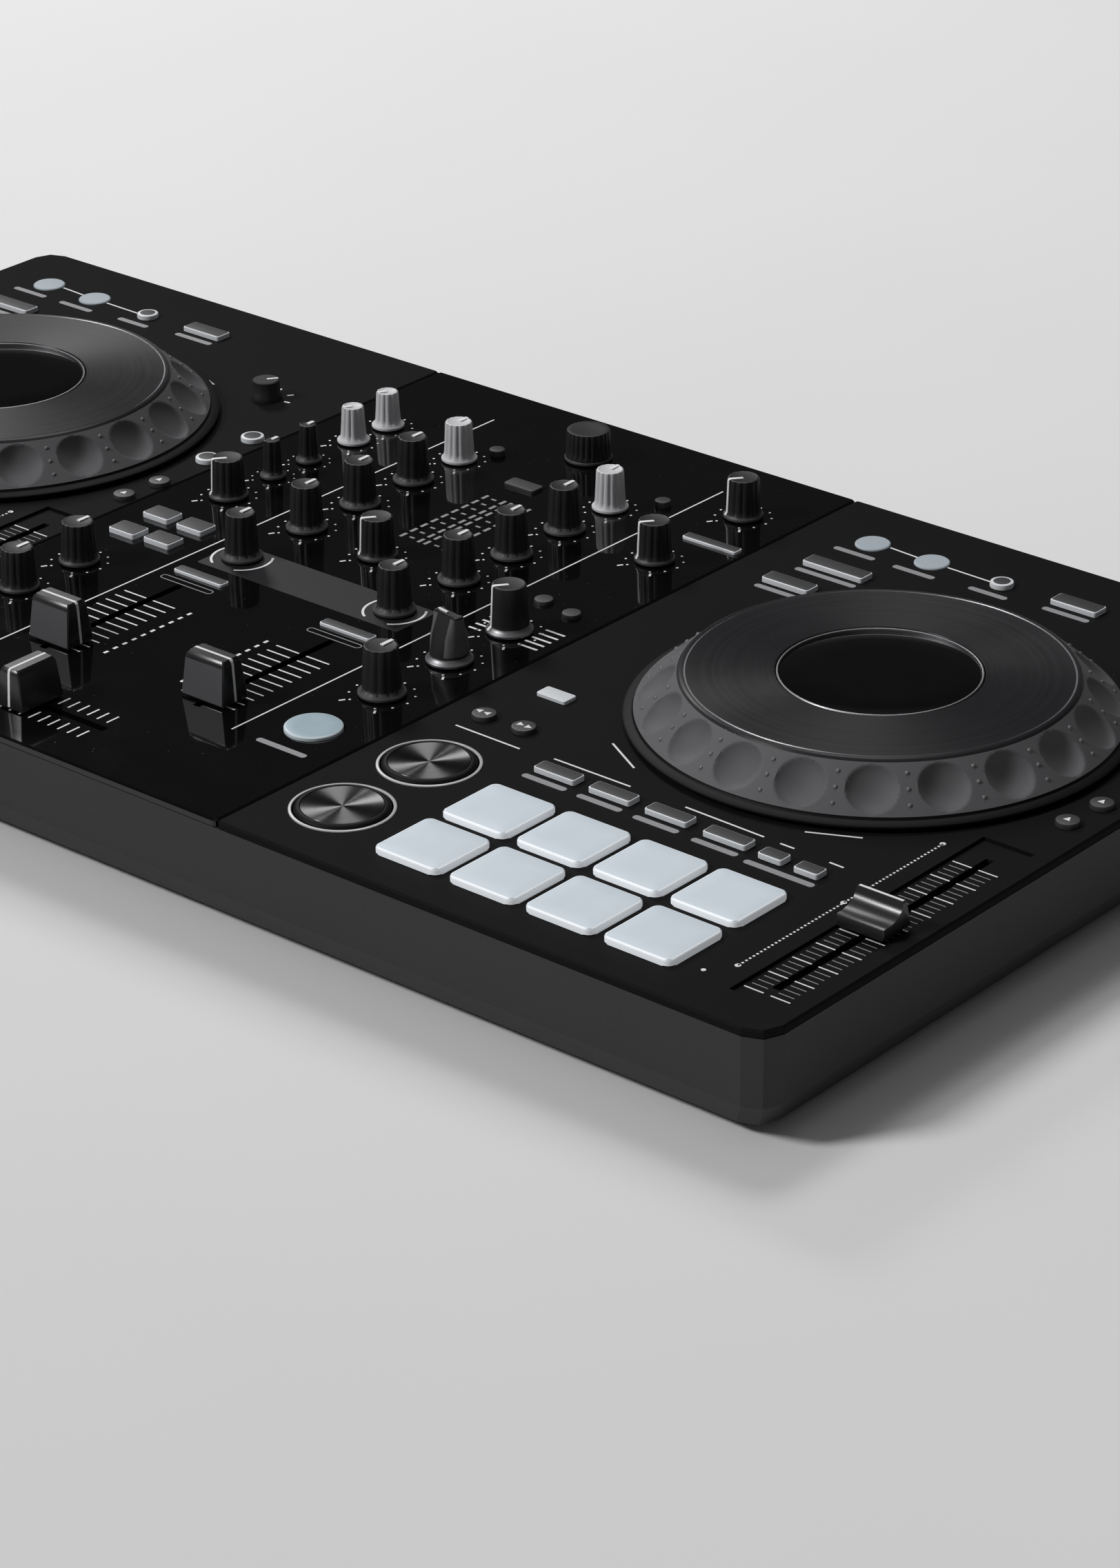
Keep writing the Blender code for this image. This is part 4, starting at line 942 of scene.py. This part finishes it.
TEMPO_X, TEMPO_Y = 294.35, -92.0
SCOOP = [(-7.0, 0.8), (-7.0, 3.9), (-6.7, 4.4), (-6.2, 4.6)]
SCOOP += [(-4.4 + 7.2 * math.sin(math.radians(d)), 10.2 - 5.6 * math.cos(math.radians(d)))
          for d in range(0, 86, 9)]
SCOOP += [(3.0, 10.15), (4.3, 10.2), (4.7, 9.9), (7.0, 0.8)]
for side, shift in DECKS.items():
    at = (TEMPO_X + shift, TEMPO_Y, 0)
    cap = Shell().add(drawn(SCOOP, 17.6, 0.4), 0, at).add(LEVER, 0, at)
    cap.add(ribbon([(-8.2, 3.65), (8.2, 3.65)], 0.9, 9.8, 10.26), 1, at)
    cap.make(f"{side}_tempo_cap", ["cap_shell", "ink_white"], "knob_black", f"{side}_tempo",
             [f"{side}_tempo_fader"])
print("5 caps: 2 channel, 1 crossfader, 2 tempo, with their levers")

# %% [markdown]
# ## Small keys
# The little keys are milky plastic with a dark printed top: the light shows only round the sides. They
# don't move in the CAD model, so they ride on the chassis. Round ones have a milky collar and a dark top.

# %% Keys of the decks
def key(shell, x, y, width, depth, high=2.0, pale=False):
    shell.add(cushion(width, depth, 1.0, -0.3, high - 0.15, 0.35), 0, (x, y, 0))
    if not pale:
        shell.add(cushion(width - 0.9, depth - 0.9, 0.8, high - 0.6, high, 0.12), 1, (x, y, 0))


def round_key(shell, x, y, radius, high, dark=False):
    collar = [(0, high), (radius - 0.9, high), (radius - 0.2, high - 0.15), (radius, high - 0.6),
              (radius, -0.3), (0, -0.3)]
    shell.add(lathe(collar, 40), 1 if dark else 0, (x, y, 0))
    if not dark:
        inner = radius - 1.2
        top = [(0, high + 0.05), (inner - 0.3, high + 0.05), (inner, high), (inner, high - 0.5),
               (0, high - 0.5)]
        shell.add(lathe(top, 40), 1, (x, y, 0))


def pale_disc(shell, x, y, radius, high=0.7):
    profile = [(0, high + 0.1), (radius * 0.6, high + 0.05), (radius - 0.5, high), (radius - 0.1, high - 0.3),
               (radius, high - 0.7), (radius, -0.3), (0, -0.3)]
    shell.add(lathe(profile, 56), 2, (x, y, 0))


DECK_KEYS = ((155.4, -73.4, 17.0, 6.0), (178.3, -73.6, 17.0, 6.0), (201.5, -73.9, 17.0, 6.0),
             (225.4, -74.6, 17.0, 6.0), (243.9, -75.6, 9.4, 5.6), (258.2, -76.1, 9.4, 5.6),
             (126.1, 110.6, 26.0, 7.0), (120.9, 90.4, 20.0, 7.0), (208.5, 137.9, 19.0, 7.2))
ROUND_KEYS = ((177.5, 136.6, 4.2, False), (298.2, 69.7, 4.4, False), (299.2, 44.6, 4.4, False),
              (108.5, -55.9, 4.2, True), (125.0, -55.3, 4.2, True), (299.9, 0.8, 4.0, True),
              (301.2, 17.6, 4.0, True))
LOOP_DISCS = ((121.6, 137.0), (147.4, 137.0))
FEEL_DIAL = (273.4, 103.4)  # the small dial behind each jog wheel
dial = lathe([(0, 7.6), (4.7, 7.6), (5.1, 7.3), (5.4, 2.4), (5.9, 1.6), (5.9, -0.2), (0, -0.2)], 48)
for side, shift in DECKS.items():
    keys = Shell()
    for x, y, width, depth in DECK_KEYS:
        key(keys, x + shift, y, width, depth)
    key(keys, 116.9 + shift, -29.4, 12.5, 6.4, 1.4, True)
    for x, y in LOOP_DISCS:
        pale_disc(keys, x + shift, y, 6.4)
    for x, y, radius, dark in ROUND_KEYS:
        round_key(keys, x + shift, y, radius, 1.8, dark)
    place = (FEEL_DIAL[0] + shift, FEEL_DIAL[1], 0)
    keys.add(dial, 3, place).add(ribbon([(0, 0.4), (0, 4.7)], 1.1, 7.3, 7.68), 4, place, math.radians(-35))
    keys.make(f"{side}_deck_keys", ["key_milk", "key_top", "disc_milk", "knob_rubber", "ink_white"],
              "pad_white")
print("keys, discs and a dial on each deck")

# %% [markdown]
# The mixer has fewer keys: one over each channel fader, four in the left strip, a long one in the right
# strip, a dark one over the level meter, two beat buttons and two small round selectors.

# %% Keys of the mixer
keys = Shell()
for x, y in ((-41.6, -33.4), (28.4, -34.3)):
    key(keys, x, y, 23.0, 4.6, 1.2)
for x, y in ((-89.7, -3.6), (-89.5, -20.9), (-72.9, -3.8), (-73.6, -19.5)):
    key(keys, x, y, 12.5, 8.4)
for x, y in ((64.0, 26.2), (78.8, 23.4)):
    round_key(keys, x, y, 3.4, 1.5, True)
key(keys, 78.0, 101.0, 24.0, 4.6, 1.2)
keys.add(cushion(14.0, 6.4, 1.0, -0.3, 1.2, 0.3), 1, (-7.6, 98.8, 0))
for x, y in ((-35.3, 116.1), (42.3, 117.3)):
    round_key(keys, x, y, 3.0, 2.4, True)
keys.make("mixer_keys", ["key_milk", "key_top"], "pad_white")
print("mixer keys:", len(keys.faces), "faces")

# %% [markdown]
# ## Scales and prints
# White ink marks every scale. The dots round a dial and the ticks beside a fader repeat, so two small
# trees make them: dots along an arc, and ticks along a line. Label places hold plain bars.

# %% Scale trees
def dial_tree():
    board, size = new_tree("dial_dots", {"dots": 11, "ring": 10.4, "first": 240.0, "last": -60.0, "dot": 0.42,
                                         "thickness": 0.12})
    number = board.node("GeometryNodeInputIndex")
    step = (size["last"] - size["first"]) / (size["dots"] - 1.0)
    angle = (size["first"] + step * number) * (math.pi / 180)
    spot = board.node("ShaderNodeCombineXYZ", values={0: size["ring"] * angle.do("COSINE"),
                                                      1: size["ring"] * angle.do("SINE")})
    points = board.node("GeometryNodePoints", values={"Count": size["dots"], "Position": spot})
    dot = board.node("GeometryNodeMeshCylinder", values={"Vertices": 10, "Radius": size["dot"],
                                                         "Depth": size["thickness"]})
    many = board.node("GeometryNodeInstanceOnPoints", values={"Points": points, "Instance": dot})
    return end_tree(board, many, "ink_white")


def tick_tree():
    board, size = new_tree("tick_row", {"ticks": 11, "pitch": 5.7, "length": 8.0, "width": 0.6,
                                        "thickness": 0.12})
    number = board.node("GeometryNodeInputIndex")
    spot = board.node("ShaderNodeCombineXYZ", values={1: number * size["pitch"]})
    points = board.node("GeometryNodePoints", values={"Count": size["ticks"], "Position": spot})
    block = board.node("ShaderNodeCombineXYZ",
                       values={0: size["length"], 1: size["width"], 2: size["thickness"]})
    tick = board.node("GeometryNodeMeshCube", values={"Size": block})
    many = board.node("GeometryNodeInstanceOnPoints", values={"Points": points, "Instance": tick})
    return end_tree(board, many, "ink_white")


DIAL = dial_tree()
TICKS = tick_tree()
INK_LOW, INK_HIGH, TICK_LEVEL = -0.04, 0.07, 0.01
print("scale trees:", DIAL.name, TICKS.name)

# %% [markdown]
# Ink has a thickness of its own, a tenth of a millimetre, so that it is a real shape and not only a colour.
# Five helpers print with it: a line, a patch, a short line that points away from a dial, a row of ticks and
# a bar in a label's place.

# %% Printing helpers
def stroke(ink, path, width, kind=0):
    ink.add(ribbon(path, width, INK_LOW, INK_HIGH), kind)


def stamp(ink, outline, x, y, kind=0):
    ink.add(flat_plate(outline, INK_LOW, INK_HIGH), kind, (x, y, 0))


def spoke(ink, x, y, angle, inner, outer):
    c, s = math.cos(math.radians(angle)), math.sin(math.radians(angle))
    stroke(ink, [(x + c * inner, y + s * inner), (x + c * outer, y + s * outer)], 0.8)


def scale(ink, at, count, pitch, length, width, kind=0, turn=0.0):
    ink.add(grow(TICKS, ticks=count, pitch=pitch, length=length, width=width), kind, at, turn)


def label_bar(ink, x, y, width, kind):
    stamp(ink, soft_outline(width, 2.6, 1.2, 4), x, y, kind)


print("printing:", [f.__name__ for f in (stroke, stamp, spoke, scale, label_bar)])

# %% [markdown]
# The mixer's prints: dots and two end marks round each dial, arcs round the colour knobs on their grey
# band, two long separators, the fader scales, the level meter and plain bars beside the effect knob.

# %% Mixer prints
METER_LOW = 39.0
ink = Shell()
ink.add(flat_plate(soft_outline(94.0, 21.0, 1.0), -0.05, 0.05), 1, (-5.5, -14.0, 0))
for name, x, y, kind, _, _ in KNOBS:
    flange = KNOB_KINDS[kind][3]
    if name.endswith("colour"):
        for first, last in ((-62, 38), (142, 242)):
            stroke(ink, arc(10.9, first, last, 22, (x, y)), 0.9)
    elif kind != "browse":
        dots = grow(DIAL, ring=flange + 3.0, dot=0.45 if flange > 6 else 0.35)
        ink.add(dots, 0, (x, y, TICK_LEVEL))
        for angle in (238, -58):
            spoke(ink, x, y, angle, flange + 4.4, flange + 6.6)
for x in (51.0, -58.5):
    stroke(ink, [(x, -114.7), (x, 141.0)], 0.6)
for x, dashes in ((CHANNEL_1, -23.3), (CHANNEL_2, 12.7)):
    for offset in (-6.9, 6.9):
        scale(ink, (x + offset, -103.5, TICK_LEVEL), 11, 4.55, 10.4, 0.6)
    scale(ink, (dashes, -98.2, TICK_LEVEL), 10, 4.45, 1.1, 2.0)
for offset in (-6.8, 6.8):
    scale(ink, (16.0, CROSS_AT[1] + offset, TICK_LEVEL), 11, 4.5, 5.6, 0.65, turn=quarter)
for x in (-12.3, -4.0, -1.0, 7.7):
    scale(ink, (x, METER_LOW, TICK_LEVEL), 9, 5.5, 1.3, 3.5, 2)
for x in (-8.2, 3.5):
    scale(ink, (x, METER_LOW, TICK_LEVEL), 9, 5.5, 2.2, 0.9, 2)
for x, y in ((-41.6, -40.6), (28.4, -41.2)):
    outline = [(x + a, y + b) for a, b in soft_outline(24.0, 2.8, 1.3, 4)]
    stroke(ink, outline + outline[:1], 0.35, 2)
label_bar(ink, 73.0, -114.6, 21.5, 2)
for row in range(5):
    for first, last in ((57.5, 62.8), (79.6, 88.0)):
        stroke(ink, [(first, 9.0 - 3.6 * row), (last, 9.0 - 3.6 * row)], 0.9)
ink.make("mixer_print", ["ink_white", "band_grey", "ink_grey"], "pad_white", sharp=20)
print("mixer prints:", len(ink.faces), "faces")

# %% [markdown]
# Deck prints: a bar in each label's place, lines that tie keys together, the speed scale in the fader's
# recess, which lies a little lower than the panel, and plain arrows on the search and sync keys.

# %% Deck prints
RECESS = -1.1
TIE_LINES = ([(146.3, -65.1), (178.0, -65.1)], [(200.5, -65.3), (232.4, -66.0)],
             [(105.3, -66.3), (133.0, -66.6)], [(153.6, -44.6), (170.4, -54.1)],
             [(128.2, 138.5), (140.6, 137.6)], [(154.0, 137.2), (173.0, 136.7)],
             [(240.0, -55.2), (256.4, -47.2)], [(232.9, 106.9), (248.4, 100.6)],
             [(239.0, -66.3), (244.5, -66.3)], [(258.5, -66.8), (264.0, -66.9)])
LABEL_BARS = ((154.8, -80.0, 18.0), (177.7, -80.2, 18.0), (200.9, -80.5, 18.0), (224.8, -81.1, 18.0),
              (251.0, -82.4, 27.0), (126.1, 103.6, 26.0), (120.9, 83.6, 20.0), (208.5, 130.4, 19.0),
              (121.3, 126.6, 17.6), (147.1, 126.6, 17.6), (177.5, 128.2, 16.0))
ARROWS = ((106.6, -55.9, math.pi), (109.9, -55.9, math.pi), (123.6, -55.3, 0), (126.9, -55.3, 0),
          (299.9, 0.8, quarter), (301.2, 17.6, quarter))


def arrow(size):
    """A plain triangle, as on any transport key."""
    points = [(size, 0), (-size * 0.6, size * 0.8), (-size * 0.6, -size * 0.8)]
    return flat_plate(points, 0.0, 0.1)


for side, shift in DECKS.items():
    ink = Shell()
    for path in TIE_LINES:
        stroke(ink, [(x + shift, y) for x, y in path], 0.7)
    for x, y, width in LABEL_BARS:
        label_bar(ink, x + shift, y, width, 1)
    for offset in (-4.9, 4.9):
        x = TEMPO_X + shift + offset
        scale(ink, (x, -143.4, RECESS + 0.01), 37, 2.86, 5.8, 0.32, 1)
        scale(ink, (x, -143.4, RECESS + 0.02), 10, 11.44, 7.2, 0.5)
    scale(ink, (278.0 + shift, -136.0, TICK_LEVEL), 58, 1.77, 0.75, 0.75)
    for y in (-136.4, -85.1, -34.7):
        stamp(ink, round_outline(1.0, 16), 277.9 + shift, y)
    stamp(ink, round_outline(0.8, 16), 271.8 + shift, -145.0)
    for x, y, turn in ARROWS:
        ink.add(arrow(1.5), 0, (x + shift, y, 1.78), turn)
    for angle in (55, 10, 100):
        spoke(ink, FEEL_DIAL[0] + shift, FEEL_DIAL[1], angle, 8, 10.5)
    ink.make(f"{side}_deck_print", ["ink_white", "ink_grey"], "pad_white", sharp=20)
print("deck prints:", len(ink.faces), "faces on each deck")

# %% [markdown]
# ## Back and underside
# The photograph shows neither, so they get what such a controller has: metal liners in the sockets,
# screws in the base and a soft pad on each foot.

# %% Sockets
def lie_back(shape):
    """Turns a shape that stands on Z so that its top faces the back, +Y."""
    return [(x, z, -y) for x, y, z in shape[0]], shape[1]


PLATE_LOW, PLATE_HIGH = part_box("rear_jack_plate")
BACK = PLATE_HIGH.y / MM
PLATE_Z = (PLATE_LOW.z + PLATE_HIGH.z) / 2 / MM - PANEL_TOP / MM
PLATE_LEFT = -150 - DRAWN_X


def on_plate(along):
    """The bottom of a socket, this far from the plate's left end."""
    return PLATE_LEFT + along, BACK - 9.4, PLATE_Z


PHONO = lie_back(lathe([(4.1, 0.0), (4.1, 9.3), (3.5, 9.3), (3.5, 0.6), (1.6, 0.6), (1.6, 8.4), (1.1, 8.4),
                        (1.1, 0.0)], 40, True))
COLLAR = lie_back(lathe([(3.45, 0.7), (3.45, 8.2), (2.0, 8.2), (2.0, 0.7)], 40, True))
JACK = lie_back(lathe([(3.3, 0.0), (3.3, 9.3), (2.7, 9.3), (2.7, 0.4), (0.0, 0.4)], 40))
USB_FLOOR = lie_back(flat_plate(soft_outline(8.8, 7.8, 0.8), 0.0, 0.6))
USB_TONGUE = lie_back(flat_plate(soft_outline(4.6, 3.2, 0.4), 0.5, 8.4))
sockets = Shell()
for index in range(4):
    at = on_plate(16 + 19 * index)
    sockets.add(PHONO, 0, at).add(COLLAR, 1 + index % 2, at)
for index in range(3):
    sockets.add(JACK, 3, on_plate(126 + 24 * index))
sockets.add(USB_FLOOR, 3, on_plate(240)).add(USB_TONGUE, 1, on_plate(240))
sockets.make("rear_socket_liners", ["plug_gold", "socket_white", "socket_red", "screw_steel"], "socket_black")
print("back plate at y", round(BACK, 1))

# %% [markdown]
# The base has a soft pad on each of its four feet and ten cross-headed screws.

# %% Screws and feet
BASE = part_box("bottom_case")[0].z / MM - PANEL_TOP / MM
FOOT_PAD = lathe([(0, 0.12), (6.6, 0.12), (7.4, 0.3), (8.6, 1.0), (8.6, 1.6), (0, 1.6)], 40)
HEAD = lathe([(0, 3.75), (1.2, 3.7), (2.4, 3.55), (2.9, 3.8), (2.9, 4.3), (0, 4.3)], 24)
SLOT_ALONG = flat_plate(soft_outline(3.0, 0.7, 0.2, 2), 3.5, 3.9)
SLOT_ACROSS = flat_plate(soft_outline(0.7, 3.0, 0.2, 2), 3.51, 3.9)
base = Shell()
for x in (-273.7, 273.7):
    for y in (-123.5, 123.5):
        base.add(FOOT_PAD, 0, (x - DRAWN_X, y, BASE))
for x in (-250, -125, 0, 125, 250):
    for y in (-140, 140):
        at = (x - DRAWN_X, y, BASE)
        base.add(HEAD, 1, at).add(SLOT_ALONG, 2, at).add(SLOT_ACROSS, 2, at)
base.make("base_fittings", ["foot_rubber", "screw_steel", "socket_shell"], "case_black")
print("base at", round(BASE, 1))

# %% [markdown]
# ## Stage and light
# A pale floor and a soft grey surround. The main light is a broad sun from the front left and above. Two
# lights behind the controller draw highlights along the gloss, and a weak one fills the front.

# %% Stage and light
def floor_paint(board):
    cloud = blotches(board, 400, 3)
    grain = blotches(board, 3, 2)
    return {"Base Color": blend(board, cloud, (0.70, 0.70, 0.70), (0.76, 0.76, 0.76)),
            "Roughness": grain * 0.1 + 0.6}


finish("studio_floor", {"Specular IOR Level": 0.2}, floor_paint)
floor_mesh = bpy.data.meshes.new("floor")
floor_mesh.from_pydata([(-9, -9, 0), (9, -9, 0), (9, 9, 0), (-9, 9, 0)], [], [[0, 1, 2, 3]])
floor_mesh.materials.append(FINISHES["studio_floor"])
floor = bpy.data.objects.new("floor", floor_mesh)
bpy.context.scene.collection.objects.link(floor)
floor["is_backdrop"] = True

SKY_STOPS = [(0.0, 0.12), (0.10, 0.12), (0.24, 0.035), (0.62, 0.035), (0.95, 0.30)]
world = bpy.data.worlds.new("studio")
world.use_nodes = True
sky = Wire(world.node_tree)
where = sky.node("ShaderNodeTexCoord", output="Generated")
height = sky.node("ShaderNodeSeparateXYZ", values={0: where}).out("Z")
wall = sky.node("ShaderNodeValToRGB", {"stops": SKY_STOPS}, {0: height})
world.node_tree.links.new(wall.socket, world.node_tree.nodes["Background"].inputs["Color"])
bpy.context.scene.world = world
LAMP_AIM = Vector((0.1, -0.05, 0.04))


def lamp(name, kind, place, size, power):
    light = bpy.data.lights.new(name, kind)
    setattr(light, "angle" if kind == "SUN" else "size", size)
    light.energy = power
    made = bpy.data.objects.new(name, light)
    made.location = place
    made.rotation_euler = (LAMP_AIM - Vector(place)).to_track_quat("-Z", "Y").to_euler()
    bpy.context.scene.collection.objects.link(made)


lamp("main_light", "SUN", (-1.0, -1.45, 1.45), math.radians(12), 2.0)
lamp("back_light", "AREA", (-1.45, 0.85, 1.2), 0.4, 9)
lamp("top_light", "AREA", (-0.6, 0.85, 2.0), 0.6, 14)
lamp("front_light", "AREA", (1.6, -1.6, 0.8), 1.2, 2)
bpy.context.scene.view_settings.view_transform = "Standard"

# %% [markdown]
# ## Camera
# The camera was fitted to the panel corners and the round controls. It looks down by 26 degrees and needs
# no shift, only a small roll.

# %% Camera
TARGET = Vector((0.16417, -0.07777, PANEL_TOP))
AZIMUTH, ELEVATION, DISTANCE, ROLL = math.radians(40.56), math.radians(26.31), 1.52769, math.radians(0.55)
flat = math.cos(ELEVATION)
back = Vector((math.sin(AZIMUTH) * flat, -math.cos(AZIMUTH) * flat, math.sin(ELEVATION)))
level_right = back.cross(Vector((0, 0, 1))).normalized() * -1
level_down = (-back).cross(level_right)
right = level_right * math.cos(ROLL) + level_down * math.sin(ROLL)
up = back.cross(right)
eye = Matrix((right, up, back)).transposed().to_4x4()
eye.translation = TARGET + back * DISTANCE
lens_data = bpy.data.cameras.new("camera")
lens_data.lens = 110.66
lens_data.sensor_width = 36.0
lens_data.sensor_fit = "AUTO"
camera = bpy.data.objects.new("camera", lens_data)
camera.matrix_world = eye
bpy.context.scene.collection.objects.link(camera)
bpy.context.scene.camera = camera
print("camera at", [round(v, 3) for v in eye.translation])

# %% Finish
VISUAL_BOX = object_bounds()
for label, box in (("CAD box", CAD_BOX), ("visual box", VISUAL_BOX)):
    print(label, [[round(v, 4) for v in corner] for corner in box])
